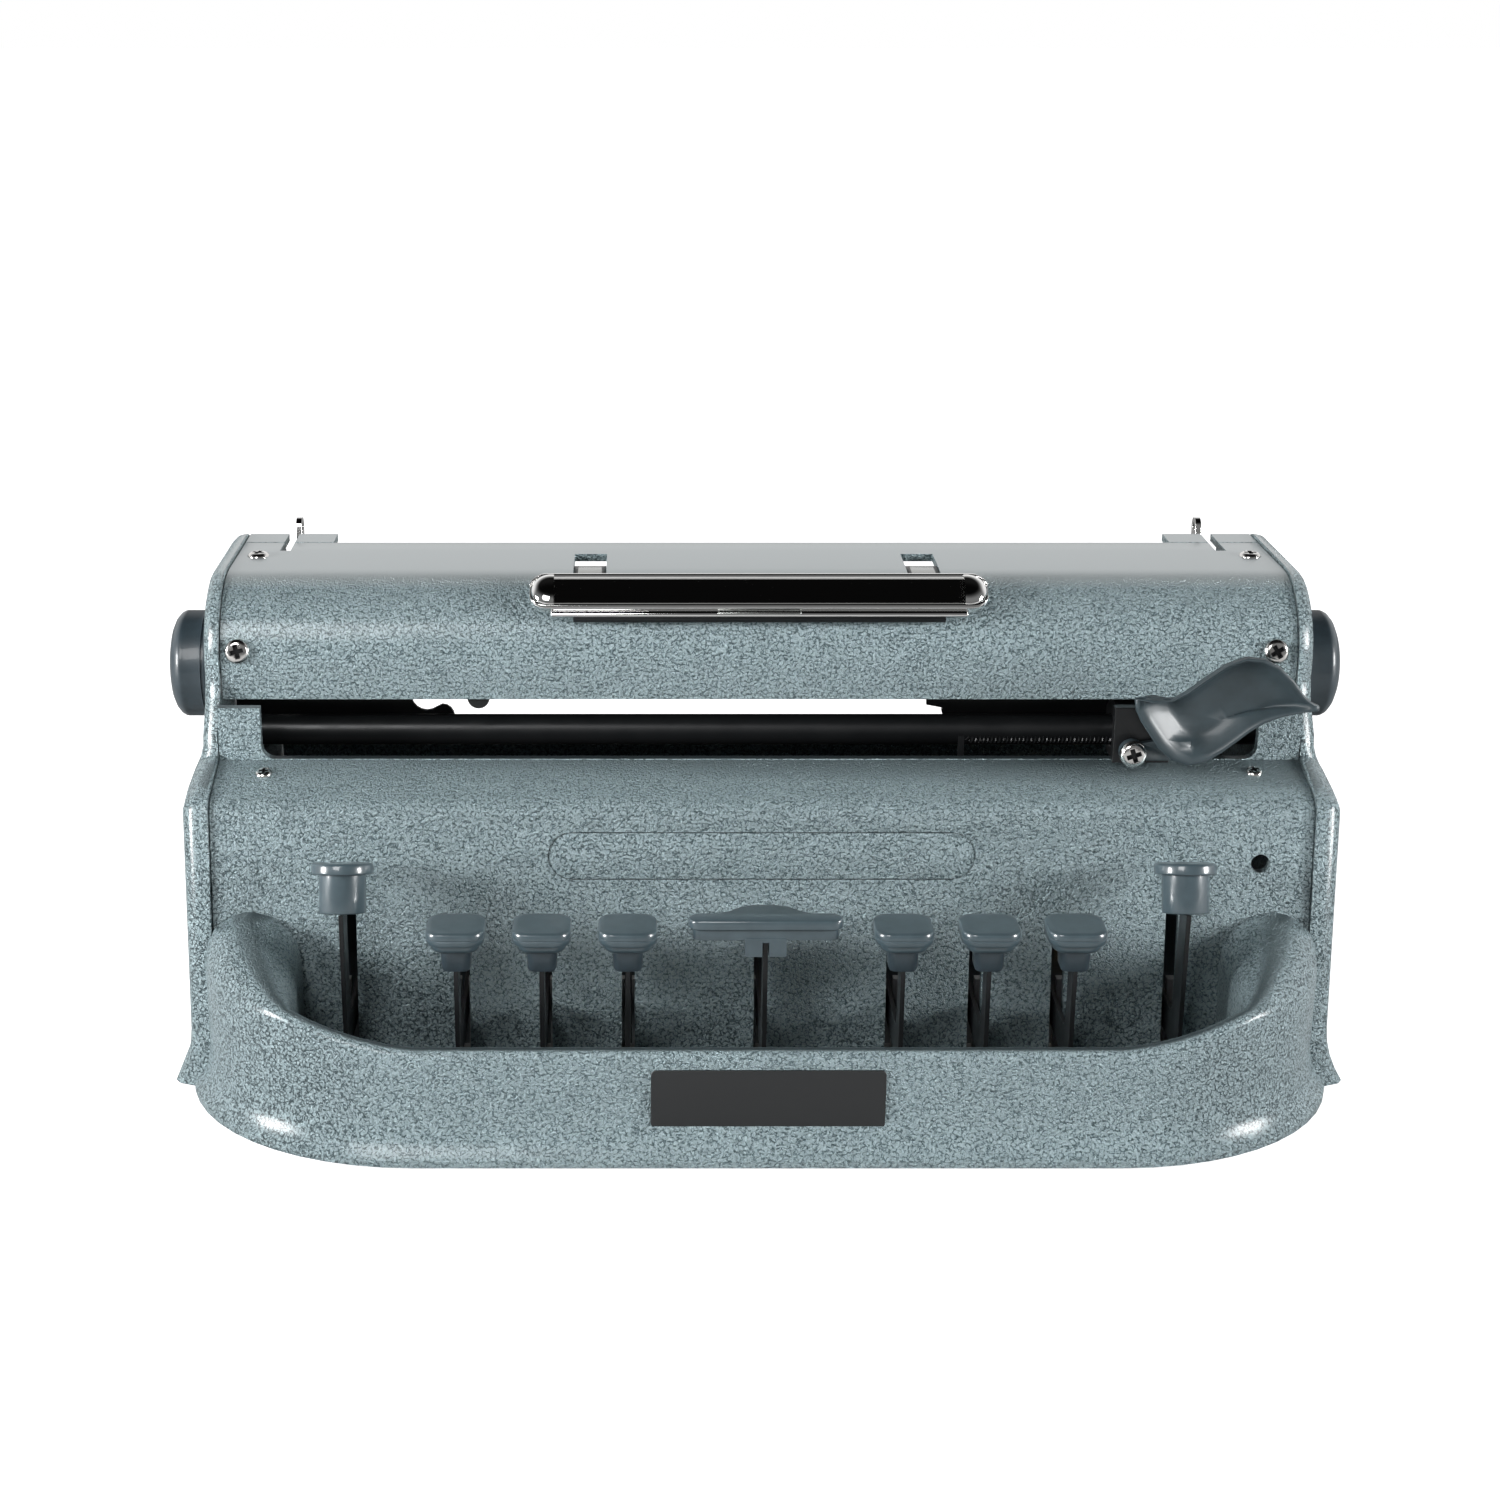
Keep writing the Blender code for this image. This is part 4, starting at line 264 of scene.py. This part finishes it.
def hammered_enamel():
    """Grey-green enamel in small cells with dark cracks, and a smooth film where it lies level,
    painted dark low down and light high up as shade and reflection.
    """
    material, shader = finish("hammered_enamel", (0.30, 0.37, 0.39), roughness=0.42,
                              metallic=0.60, Coat_Weight=0.5, Coat_Roughness=0.22)
    links = material.node_tree.links
    place = object_place(material)
    shifted = shader_node(material, "ShaderNodeMix", data_type="VECTOR", Factor=0.0014)
    links.new(place, shifted.inputs["A"])
    links.new(noise(material, place, scale=900.0, detail=2.0).outputs["Color"], shifted.inputs["B"])
    cells = shader_node(material, "ShaderNodeTexVoronoi", feature="DISTANCE_TO_EDGE", Scale=760.0)
    links.new(shifted.outputs["Result"], cells.inputs["Vector"])
    crack = scaled(material, cells.outputs["Distance"], factor=-7.5, offset=1.08, clamp=True)
    gaps = noise(material, place, scale=1000.0).outputs[0]
    broken = scaled(material, gaps, factor=5.0, offset=-1.9, clamp=True)
    crack = joined(material, "MULTIPLY", crack, broken)
    specks = noise(material, place, scale=1500.0, detail=2.0, roughness=0.7).outputs[0]
    grain = scaled(material, specks, factor=1.3, offset=-0.65)
    relief = joined(material, "SUBTRACT", grain, crack)
    facing = shader_node(material, "ShaderNodeTexCoord").outputs["Normal"]
    sloping = scaled(material, height_of(material, facing), factor=-9.0, offset=8.9, clamp=True)
    relief = joined(material, "MULTIPLY", relief, sloping)
    cell_tone = ramp(material, scaled(material, relief, factor=0.5, offset=0.62), [
        (0.05, (0.052, 0.086, 0.096)), (0.95, (0.42, 0.50, 0.52)),
        (0.38, (0.155, 0.212, 0.228)), (0.60, (0.255, 0.330, 0.350)),
    ])
    # Painted light: the level film runs from dark low down, painted shade, to light high up, a
    # painted reflection.
    height = scaled(material, height_of(material, place), factor=10.0, offset=-0.8, clamp=True)
    painted_film_light = ramp(material, height, [
        (0.20, (0.060, 0.080, 0.086)), (0.65, (0.40, 0.44, 0.45)),
    ])
    tone = shader_node(material, "ShaderNodeMix", data_type="RGBA")
    links.new(sloping, tone.inputs["Factor"])
    links.new(painted_film_light, tone.inputs["A"])
    links.new(cell_tone, tone.inputs["B"])
    links.new(tone.outputs["Result"], shader.inputs["Base Color"])
    bump(material, relief, shader, strength=1.0, depth=0.00062)
    return material


def smooth_piece(name, shape, material, angle):
    """A smooth-shaded piece from a bmesh, which stays sharp where it bends more than the angle."""
    mesh = bpy.data.meshes.new(name)
    shape.to_mesh(mesh)
    shape.free()
    piece = bpy.data.objects.new(name, mesh)
    scene.collection.objects.link(piece)
    mesh.materials.append(material)
    mesh.shade_smooth()
    mesh.set_sharp_from_angle(angle=math.radians(angle))
    return piece


def eased(node, material, width=0.0, angle=35):
    """A merged copy of a CAD node, with its edges eased by the width, that stands for it."""
    shape = bmesh.new()
    shape.from_mesh(frame["nodes"][node].data)
    bmesh.ops.remove_doubles(shape, verts=shape.verts, dist=MERGE_WITHIN)
    bmesh.ops.dissolve_limit(shape, angle_limit=FLAT_WITHIN, verts=shape.verts, edges=shape.edges)
    piece = smooth_piece("dressed_" + node, shape, material, angle)
    if width:
        rounding = piece.modifiers.new("rounding", "BEVEL")
        rounding.width = width
        rounding.segments = 2
        rounding.limit_method = "ANGLE"
        rounding.angle_limit = math.radians(angle)
        rounding.harden_normals = True
    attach(piece, BODY_OF[node])
    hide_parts(node)


enamel = hammered_enamel()
for casting in ("base_casting", "left_side_panel", "right_side_panel"):
    eased(casting, enamel, width=0.0005)
for sheet in ("front_panel", "top_cover", "rear_panel"):
    eased(sheet, enamel, width=0.0002)

# Name field: the long plate with round ends that fills the recess of the front panel up to a fine
# line. It is cast and enamelled as the panel is, leans with it, and its face is plain.
PANEL_LEAN = math.atan2(0.0103, 0.0842)
FIELD_MIDDLE = (0, -0.05079, 0.07497)


def dressed(name, shape, material, body, angle=35):
    """A new piece from a bmesh, riding on a body."""
    bmesh.ops.recalc_face_normals(shape, faces=shape.faces)
    piece = smooth_piece(name, shape, material, angle)
    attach(piece, body)
    return piece


def rounded_plate(half_width, half_height, corner, depth, ease):
    """A plate with round corners in the XY plane, its face at +Z eased all round."""
    shape = bmesh.new()
    bmesh.ops.create_grid(shape, x_segments=1, y_segments=1, size=1)
    bmesh.ops.scale(shape, vec=(half_width, half_height, 1), verts=shape.verts)
    bmesh.ops.bevel(shape, geom=list(shape.verts), offset=corner, offset_type="OFFSET", segments=8,
                    profile=0.5, affect="VERTICES", material=-1)
    grown = bmesh.ops.extrude_face_region(shape, geom=list(shape.faces))
    front = [item for item in grown["geom"] if isinstance(item, bmesh.types.BMVert)]
    bmesh.ops.translate(shape, vec=(0, 0, depth), verts=front)
    rim = [edge for edge in shape.edges if all(vert in front for vert in edge.verts)]
    bmesh.ops.bevel(shape, geom=rim, offset=ease, offset_type="OFFSET", segments=3,
                    profile=0.5, affect="EDGES", material=-1)
    return shape


field = rounded_plate(half_width=0.06555, half_height=0.00725, corner=0.0072, depth=0.0009,
                      ease=0.00015)
upright = Matrix.Rotation(math.pi / 2 - PANEL_LEAN, 3, "X")
bmesh.ops.rotate(field, matrix=upright, verts=field.verts)
bmesh.ops.translate(field, vec=FIELD_MIDDLE, verts=field.verts)
dressed("name_field", field, enamel, "housing")

# Key caps: slate blue-grey plastic, moulded and glossy, each moulded round its lever. A dot key's
# cap is a rounded square that steps in twice below its rim to a small block, which is painted
# darker as the shade under the cap. Side keys are round, the space bar long.
CAP_CORNER = 0.55
BLOCK_DROP = 0.0072
CAP_STEPS = (  # share of the half width, share of the half depth, metres below the top
    (0.80, 0.80, 0.00000), (0.90, 0.90, 0.00008), (0.965, 0.965, 0.00034),
    (0.995, 0.995, 0.00085), (1.0, 1.0, 0.00150), (1.0, 1.0, 0.00200), (0.982, 0.982, 0.00220),
    (0.982, 0.982, 0.00240), (1.0, 1.0, 0.00260), (0.995, 0.995, 0.00360), (0.965, 0.965, 0.00420),
    (0.84, 0.84, 0.00428), (0.83, 0.83, 0.00560), (0.80, 0.80, 0.00640), (0.73, 0.73, 0.00690),
    (0.52, 0.53, 0.00700), (0.50, 0.51, 0.01300), (0.46, 0.47, 0.01385),
)


def mottled(material, shader, pattern, low_tone, high_tone):
    """Lets the colour wander between two tones with a pattern."""
    tone = ramp(material, pattern, [(0.30, low_tone), (0.72, high_tone)])
    material.node_tree.links.new(tone, shader.inputs["Base Color"])


def slate_plastic(name, colour, roughness, coat, coat_roughness=0.08):
    """Moulded plastic with a faint mottle and a very fine grain."""
    material, shader = finish(name, colour, roughness, Coat_Weight=coat,
                              Coat_Roughness=coat_roughness)
    place = object_place(material)
    clouds = noise(material, place, scale=220.0, detail=3.0).outputs[0]
    low_tone, high_tone = (tuple(share * value for value in colour) for share in (0.88, 1.12))
    mottled(material, shader, clouds, low_tone, high_tone)
    grain = noise(material, place, scale=900.0, detail=2.0).outputs[0]
    bump(material, grain, shader, strength=0.08, depth=0.0001)
    return material


def open_rim(shape):
    """The edges round the opening of a shape."""
    return [edge for edge in shape.edges if edge.is_boundary]


def draw_out(shape, across, deep, lift):
    """Extrudes the rim of a shape, then stretches and lifts the new rim, which it returns."""
    grown = bmesh.ops.extrude_edge_only(shape, edges=open_rim(shape))
    ring = [item for item in grown["geom"] if isinstance(item, bmesh.types.BMVert)]
    bmesh.ops.scale(shape, vec=(across, deep, 1), verts=ring)
    bmesh.ops.translate(shape, vec=(0, 0, lift), verts=ring)
    return ring


slate = slate_plastic("slate_plastic", (0.052, 0.077, 0.090), roughness=0.30, coat=0.6)
# The darker plastic is the knobs' own colour; on the dot caps' blocks it is painted shade.
dark_slate_and_shade = slate_plastic("dark_slate_plastic_and_shade", (0.026, 0.039, 0.048), roughness=0.40, coat=0.25)
for key in ("line_space", "space", "backspace"):
    eased(key + "_cap", slate, width=0.0003)
for key in ("dot_3", "dot_2", "dot_1", "dot_4", "dot_5", "dot_6"):
    low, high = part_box(key + "_cap")
    middle = (low + high) / 2
    cap = bmesh.new()
    bmesh.ops.create_grid(cap, x_segments=1, y_segments=1, size=1)
    bmesh.ops.bevel(cap, geom=list(cap.verts), offset=CAP_CORNER, offset_type="OFFSET", segments=8,
                    profile=0.5, affect="VERTICES", material=-1)
    across, deep, drop = CAP_STEPS[0]
    bmesh.ops.scale(cap, vec=(across, deep, 1), verts=cap.verts)
    for next_across, next_deep, next_drop in CAP_STEPS[1:]:
        draw_out(cap, next_across / across, next_deep / deep, drop - next_drop)
        across, deep, drop = next_across, next_deep, next_drop
    bmesh.ops.contextual_create(cap, geom=open_rim(cap))
    # Faces of the small block take the darker plastic, painted as the shade under the cap.
    for face in cap.faces:
        face.material_index = int(face.calc_center_median().z < -BLOCK_DROP)
    half_size = ((high.x - low.x) / 2, (high.y - low.y) / 2, 1)
    bmesh.ops.scale(cap, vec=half_size, verts=cap.verts)
    bmesh.ops.translate(cap, vec=(middle.x, middle.y, high.z), verts=cap.verts)
    piece = dressed("moulded_" + key + "_cap", cap, slate, BODY_OF[key + "_cap"])
    piece.data.materials.append(dark_slate_and_shade)
    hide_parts(key + "_cap")

# Knobs of the paper roller: darker slate plastic, turned on the same axis. The face is rounded
# over, and the barrel has a band of fine ribs for the fingers and a plain collar next to the
# housing.
KNOB_OUTLINE = (  # share of the radius, metres in from the face
    (0.0, 0.0), (0.50, 0.0), (0.60, 0.00015), (0.74, 0.00070), (0.87, 0.00170), (0.96, 0.00300),
    (0.992, 0.00400), (1.0, 0.00460), (1.0, 0.00520), (1.0, 0.01050), (1.0, 0.01110),
    (0.965, 0.01130), (0.965, 0.01170), (1.0, 0.01190), (1.0, 0.01340), (0.95, 0.01415),
    (0.22, 0.01420), (0.22, 0.00800), (0.0, 0.00800),
)
KNOB_STEPS = 300
RIBS_START, RIBS_END, RIB_DEPTH = 0.0050, 0.0108, 0.00018
for knob, side in (("left_knob", -1), ("right_knob", 1)):
    low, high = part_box(knob)
    radius = (high.z - low.z) / 2
    axle = Vector((0, (low.y + high.y) / 2, (low.z + high.z) / 2))
    knob_face = low.x if side < 0 else high.x
    turned = bmesh.new()
    outline = [
        turned.verts.new((knob_face - side * depth, axle.y, axle.z + radius * share))
        for share, depth in KNOB_OUTLINE
    ]
    for first, second in zip(outline, outline[1:]):
        turned.edges.new((first, second))
    bmesh.ops.spin(turned, geom=turned.verts[:] + turned.edges[:], cent=axle, axis=(1, 0, 0),
                   angle=math.tau, steps=KNOB_STEPS, use_merge=True)
    bmesh.ops.remove_doubles(turned, verts=turned.verts, dist=MERGE_WITHIN)
    for vert in turned.verts:
        depth = side * (knob_face - vert.co.x)
        arm = vert.co - Vector((vert.co.x, axle.y, axle.z))
        if RIBS_START < depth < RIBS_END and arm.length > 0.9 * radius:
            if round(math.atan2(arm.y, arm.z) / math.tau * KNOB_STEPS) % 2:
                vert.co -= arm.normalized() * RIB_DEPTH
    piece = dressed("ribbed_" + knob, turned, dark_slate_and_shade, BODY_OF[knob], angle=50)
    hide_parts(knob)

# Carriage lever: a dished finger piece of the same dark plastic, moulded with a thick rim. Years of
# use have dulled its gloss.
lever_plastic = slate_plastic("lever_plastic", (0.032, 0.048, 0.056), roughness=0.48, coat=0.2,
                              coat_roughness=0.22)
eased("carriage_lever", lever_plastic, angle=60)

# Black steel: key levers, carriage rail, rack with its spring, roller guides, carriage body and the
# finger lever's bracket. The steel is blackened and oiled, and the film is uneven, so the gloss
# varies a little along each piece.
black, black_shader = finish("blackened_steel", (0.010, 0.011, 0.012), roughness=0.32, metallic=0.3)
black_film = noise(black, object_place(black), scale=140.0, detail=3.0)
black_gloss = shader_node(black, "ShaderNodeMapRange", **{"To Min": 0.24, "To Max": 0.46})
black.node_tree.links.new(black_film.outputs[0], black_gloss.inputs["Value"])
black.node_tree.links.new(black_gloss.outputs["Result"], black_shader.inputs["Roughness"])
for key in ("line_space", "dot_3", "dot_2", "dot_1", "space", "dot_4", "dot_5", "dot_6",
            "backspace"):
    eased(key + "_lever", black, width=0.0002)
for bar in ("carriage_rail", "carriage_rack", "left_roller_guide", "right_roller_guide",
            "rack_spring"):
    eased(bar, black)
eased("carriage_body", black, width=0.0004)
eased("lever_bracket", black, width=0.0003)

# Cover stop: a short black pin under the cover's front edge, left of the middle, that the cover
# rests on. It is turned from steel and pressed into the housing.
PIN_RADIUS, PIN_LENGTH = 0.0035, 0.006
PIN_FRONT = (-0.0885, -0.0140, 0.1140)
stop_pin = bmesh.new()
bmesh.ops.create_circle(stop_pin, cap_ends=True, segments=32, radius=PIN_RADIUS)
grown = bmesh.ops.extrude_face_region(stop_pin, geom=list(stop_pin.faces))
pin_end = [item for item in grown["geom"] if isinstance(item, bmesh.types.BMVert)]
bmesh.ops.translate(stop_pin, vec=(0, 0, PIN_LENGTH), verts=pin_end)
to_the_back = Matrix.Rotation(-math.pi / 2, 3, "X")
bmesh.ops.rotate(stop_pin, matrix=to_the_back, verts=stop_pin.verts)
bmesh.ops.translate(stop_pin, vec=PIN_FRONT, verts=stop_pin.verts)
dressed("cover_stop_pin", stop_pin, black, "housing")

# Plated steel: paper table, key shaft, key comb, margin bar, shafts of the reading rest and the
# roller, embossing head, carrying handle, bell hammer and ratchet wheel. The zinc looks grey and a
# little clouded.
zinc, zinc_shader = finish("zinc_plate", (0.42, 0.43, 0.43), roughness=0.34, metallic=0.9)
zinc_cloud = noise(zinc, object_place(zinc), scale=90.0, detail=4.0, roughness=0.65).outputs[0]
mottled(zinc, zinc_shader, zinc_cloud, (0.34, 0.35, 0.35), (0.50, 0.51, 0.51))
bump(zinc, zinc_cloud, zinc_shader, strength=0.05, depth=0.0002)
for part in ("paper_table", "key_shaft", "lever_comb", "margin_bar", "rest_shaft",
             "embossing_head", "feed_shaft"):
    eased(part, zinc)
for part in ("handle_bail", "bell_hammer", "ratchet_wheel"):
    eased(part, zinc, width=0.0002)

# Chrome pieces: the reading rest's bar and arms, the paper release levers and the margin stops.
# They are pressed from sheet and plated. The arms are brushed, and the others are polished, with a
# slight wave left in the metal.
chrome, chrome_shader = finish("chrome_plate", (0.80, 0.80, 0.79), roughness=0.07, metallic=1.0)
chrome_wave = noise(chrome, object_place(chrome), scale=45.0).outputs[0]
bump(chrome, chrome_wave, chrome_shader, strength=0.04, depth=0.0004)
brushed, brushed_shader = finish("brushed_chrome", (0.34, 0.35, 0.34), roughness=0.24, metallic=1.0)
brushed_grain = noise(brushed, object_place(brushed), scale=700.0, detail=3.0).outputs[0]
bump(brushed, brushed_grain, brushed_shader, strength=0.10, depth=0.0002)
for part in ("left_rest_arm", "right_rest_arm"):
    eased(part, brushed, width=0.0002)
for part in ("left_release_lever", "right_release_lever"):
    eased(part, chrome, width=0.0002)
for part in ("reading_rest_bar", "left_margin_stop", "right_margin_stop"):
    eased(part, chrome, width=0.0003, angle=30)

# Lower edge of the reading rest: the bar's sheet is folded back under it as a lip, with a shallow
# finger notch in the middle and a black strip below, a painted shadow line under the lip. Each is
# made flat about the rest's shaft, then turned to the bar's own slope.
REST_PIVOT = (0, 0.0090, 0.1250)
REST_TURN = Matrix.Rotation(math.radians(39), 3, "X")
for name, half_width, high_edge, low_edge, near, far, ease, material, slot_name in (
    ("rest_bar_lip", 0.0655, -0.0058, -0.0090, 0.0265, 0.0289, 0.0011, chrome, "bright_chrome"),
    ("rest_bar_notch", 0.0133, -0.0066, -0.0087, 0.0270, 0.0291, 0.0008, brushed, "bright_chrome"),
    # The black strip is painted shadow under the lip.
    ("rest_bar_shadow_strip", 0.0583, -0.0085, -0.0100, 0.0263, 0.0280, 0.0002, black, "black_steel"),
):
    strip = bmesh.new()
    bmesh.ops.create_cube(strip, size=1)
    strip_size = (2 * half_width, high_edge - low_edge, far - near)
    bmesh.ops.scale(strip, vec=strip_size, verts=strip.verts)
    strip_middle = (0, (high_edge + low_edge) / 2, (near + far) / 2)
    bmesh.ops.translate(strip, vec=strip_middle, verts=strip.verts)
    bmesh.ops.bevel(strip, geom=list(strip.edges), offset=ease, offset_type="OFFSET", segments=4,
                    profile=0.5, affect="EDGES", material=-1)
    bmesh.ops.rotate(strip, matrix=REST_TURN, verts=strip.verts)
    bmesh.ops.translate(strip, vec=REST_PIVOT, verts=strip.verts)
    dressed(name, strip, material, BODY_OF["reading_rest_bar"])

# Ends of the reading rest: the bar's round ends are pressed out of its sheet into shallow domes,
# which catch the lamps. A dome is cut off at the bar's face and just inside its own middle.
DOME_REACH, DOME_RISE = 0.0062, 0.0030
DOME_MIDDLE, DOME_INNER_EDGE = 0.0654, 0.0644
BAR_FACE, DOME_LIFT = 0.0290, 0.0002
for name, side in (("rest_bar_left_end", -1), ("rest_bar_right_end", 1)):
    dome = bmesh.new()
    bmesh.ops.create_uvsphere(dome, u_segments=48, v_segments=24, radius=1)
    bmesh.ops.scale(dome, vec=(DOME_REACH, DOME_REACH, DOME_RISE), verts=dome.verts)
    dome_place = (side * DOME_MIDDLE, 0, BAR_FACE + DOME_LIFT)
    bmesh.ops.translate(dome, vec=dome_place, verts=dome.verts)
    for point, outwards in (
        ((side * DOME_INNER_EDGE, 0, 0), (-side, 0, 0)),
        ((0, 0, BAR_FACE), (0, 0, -1)),
    ):
        cut = bmesh.ops.bisect_plane(dome, geom=dome.verts[:] + dome.edges[:] + dome.faces[:],
                                     plane_co=point, plane_no=outwards, clear_outer=True)
        cut_rim = [item for item in cut["geom_cut"] if isinstance(item, bmesh.types.BMEdge)]
        bmesh.ops.contextual_create(dome, geom=cut_rim)
    bmesh.ops.rotate(dome, matrix=REST_TURN, verts=dome.verts)
    bmesh.ops.translate(dome, vec=REST_PIVOT, verts=dome.verts)
    dressed(name, dome, chrome, BODY_OF["reading_rest_bar"])

# Gap shadows: each arm of the reading rest has a black strip under it, a little wider than the arm,
# painted as the shadowed gap at both sides of the arm. The strip swings with the arm.
SHADOW_STRIP_WIDER = 0.0026
SHADOW_STRIP_BEHIND = (0, 0.0001, -0.0001)
for arm in ("left_rest_arm", "right_rest_arm"):
    low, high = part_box(arm)
    shadow_strip = bmesh.new()
    shadow_strip.from_mesh(frame["nodes"][arm].data)
    bmesh.ops.remove_doubles(shadow_strip, verts=shadow_strip.verts, dist=MERGE_WITHIN)
    arm_middle = Vector(((low.x + high.x) / 2, *REST_PIVOT[1:]))
    wider = 1 + SHADOW_STRIP_WIDER / (high.x - low.x)
    bmesh.ops.translate(shadow_strip, vec=-arm_middle, verts=shadow_strip.verts)
    bmesh.ops.scale(shadow_strip, vec=(wider, 1, 1), verts=shadow_strip.verts)
    bmesh.ops.translate(shadow_strip, vec=SHADOW_STRIP_BEHIND, verts=shadow_strip.verts)
    bmesh.ops.translate(shadow_strip, vec=arm_middle, verts=shadow_strip.verts)
    dressed(arm + "_gap_shadow", shadow_strip, black, BODY_OF[arm])

# Screws: chrome pan heads with a cross recess, whose inside is painted black as the shade in it.
# Two hold the cover on top, two at its front, two the front panel on the shelf, four the rear
# panel, and one is the finger lever's pivot. Each cross stands at its own angle.
CROSS_REACH, ARM_WITHIN = 0.50, 0.1
RECESS_STEPS = ((1.0, 0.26), (1.10, 0.06), (1.0, 0.0))  # stretched by, lifted by
CROWN = 0.66
CROWN_STEPS = ((0.80 / CROWN, -0.07), (0.92 / 0.80, -0.11), (1 / 0.92, -0.14), (1.0, -0.22))
SHADED_RECESS_WITHIN, SHADED_RECESS_BELOW = 0.62, 0.31
screw_chrome, screw_shader = finish("screw_chrome", (0.70, 0.69, 0.67), roughness=0.16,
                                    metallic=1.0)
screw_grain = noise(screw_chrome, object_place(screw_chrome), scale=900.0, detail=2.0).outputs[0]
bump(screw_chrome, screw_grain, screw_shader, strength=0.10, depth=0.0001)
FRONT_LEAN = math.radians(169)
FRONT_FACING = (0, math.cos(FRONT_LEAN), math.sin(FRONT_LEAN))
SHELF_FACING = (0, -0.27, 0.963)
for name, place, facing, radius, twist, body in (
    ("cover_top_left_screw", (-0.1623, 0.0264, 0.1500), (0, 0, 1), 0.0036, 340, "housing"),
    ("cover_top_right_screw", (0.1625, 0.0264, 0.1500), (0, 0, 1), 0.0036, 357, "housing"),
    ("cover_front_left_screw", (-0.1639, -0.0159, 0.1299), FRONT_FACING, 0.0040, 14, "housing"),
    ("cover_front_right_screw", (0.1625, -0.0159, 0.1299), FRONT_FACING, 0.0040, 31, "housing"),
    ("shelf_left_screw", (-0.1545, -0.0340, 0.0960), SHELF_FACING, 0.0026, 272, "housing"),
    ("shelf_right_screw", (0.1540, -0.0334, 0.0962), SHELF_FACING, 0.0026, 289, "housing"),
    ("rear_low_left_screw", (-0.1600, 0.1065, 0.0140), (0, 1, 0), 0.0032, 323, "housing"),
    ("rear_low_right_screw", (0.1600, 0.1065, 0.0140), (0, 1, 0), 0.0032, 340, "housing"),
    ("rear_high_left_screw", (-0.1600, 0.1065, 0.0570), (0, 1, 0), 0.0032, 340, "housing"),
    ("rear_high_right_screw", (0.1600, 0.1065, 0.0570), (0, 1, 0), 0.0032, 357, "housing"),
    ("lever_pivot_screw", (0.1150, -0.0382, 0.1034), (0, -1, 0), 0.0042, 289,
     BODY_OF["lever_bracket"]),
):
    head = bmesh.new()
    bmesh.ops.create_grid(head, x_segments=3, y_segments=3, size=CROSS_REACH)
    corners = [
        face for face in head.faces
        if min(abs(share) for share in face.calc_center_median().xy) > ARM_WITHIN
    ]
    bmesh.ops.delete(head, geom=corners, context="FACES")
    bmesh.ops.subdivide_edges(head, edges=open_rim(head), cuts=1)
    for stretch, lift in RECESS_STEPS:
        ring = draw_out(head, stretch, stretch, lift)
    for vert in ring:
        vert.co.xy = vert.co.xy.normalized() * CROWN
    for stretch, lift in CROWN_STEPS:
        draw_out(head, stretch, stretch, lift)
    bmesh.ops.contextual_create(head, geom=open_rim(head))
    # Faces inside the recess take the second material, black steel: painted shade.
    for face in head.faces:
        face_middle = face.calc_center_median()
        if face_middle.length < SHADED_RECESS_WITHIN and face_middle.z < SHADED_RECESS_BELOW:
            face.material_index = 1
    outwards = Vector(facing).to_track_quat("Z", "Y").to_matrix()
    head_turn = outwards @ Matrix.Rotation(math.radians(twist), 3, "Z")
    bmesh.ops.scale(head, vec=(radius, radius, radius), verts=head.verts)
    bmesh.ops.rotate(head, matrix=head_turn, verts=head.verts)
    bmesh.ops.translate(head, vec=place, verts=head.verts)
    screw = dressed(name, head, screw_chrome, body)
    screw.data.materials.append(black)

# Label plate: a thin black plate with round corners, stuck to the middle of the apron. Its face is
# bare and faintly grained.
LABEL_MIDDLE = (0.0001, -0.1083, 0.02125)
foil, foil_shader = finish("black_foil", (0.012, 0.013, 0.014), roughness=0.42, Coat_Weight=0.15,
                           Coat_Roughness=0.2)
foil_grain = noise(foil, object_place(foil), scale=1600.0, detail=2.0).outputs[0]
bump(foil, foil_grain, foil_shader, strength=0.12, depth=0.00005)
label = rounded_plate(half_width=0.03435, half_height=0.00945, corner=0.0017, depth=0.0011,
                      ease=0.0002)
to_the_front = Matrix.Rotation(math.pi / 2, 3, "X")
bmesh.ops.rotate(label, matrix=to_the_front, verts=label.verts)
bmesh.ops.translate(label, vec=LABEL_MIDDLE, verts=label.verts)
dressed("label_plate", label, foil, "housing")

# Rubber pieces: the paper roller's sleeve, the handle's grip and the four feet. They are moulded,
# matt black, with a ground surface.
rubber, rubber_shader = finish("black_rubber", (0.012, 0.012, 0.012), roughness=0.78)
rubber_grain = noise(rubber, object_place(rubber), scale=1400.0, detail=2.0).outputs[0]
bump(rubber, rubber_grain, rubber_shader, strength=0.15, depth=0.0001)
for part in ("paper_roller", "handle_grip", "front_left_foot", "front_right_foot",
             "rear_left_foot", "rear_right_foot"):
    eased(part, rubber)

# The line-end bell: a brass cup inside the housing, spun and polished. It has dulled a little, so
# its colour wanders.
brass, brass_shader = finish("bell_brass", (0.60, 0.45, 0.20), roughness=0.24, metallic=1.0)
brass_dull = noise(brass, object_place(brass), scale=200.0, detail=3.0).outputs[0]
mottled(brass, brass_shader, brass_dull, (0.50, 0.36, 0.15), (0.66, 0.50, 0.24))
eased("line_bell", brass)

low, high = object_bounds()
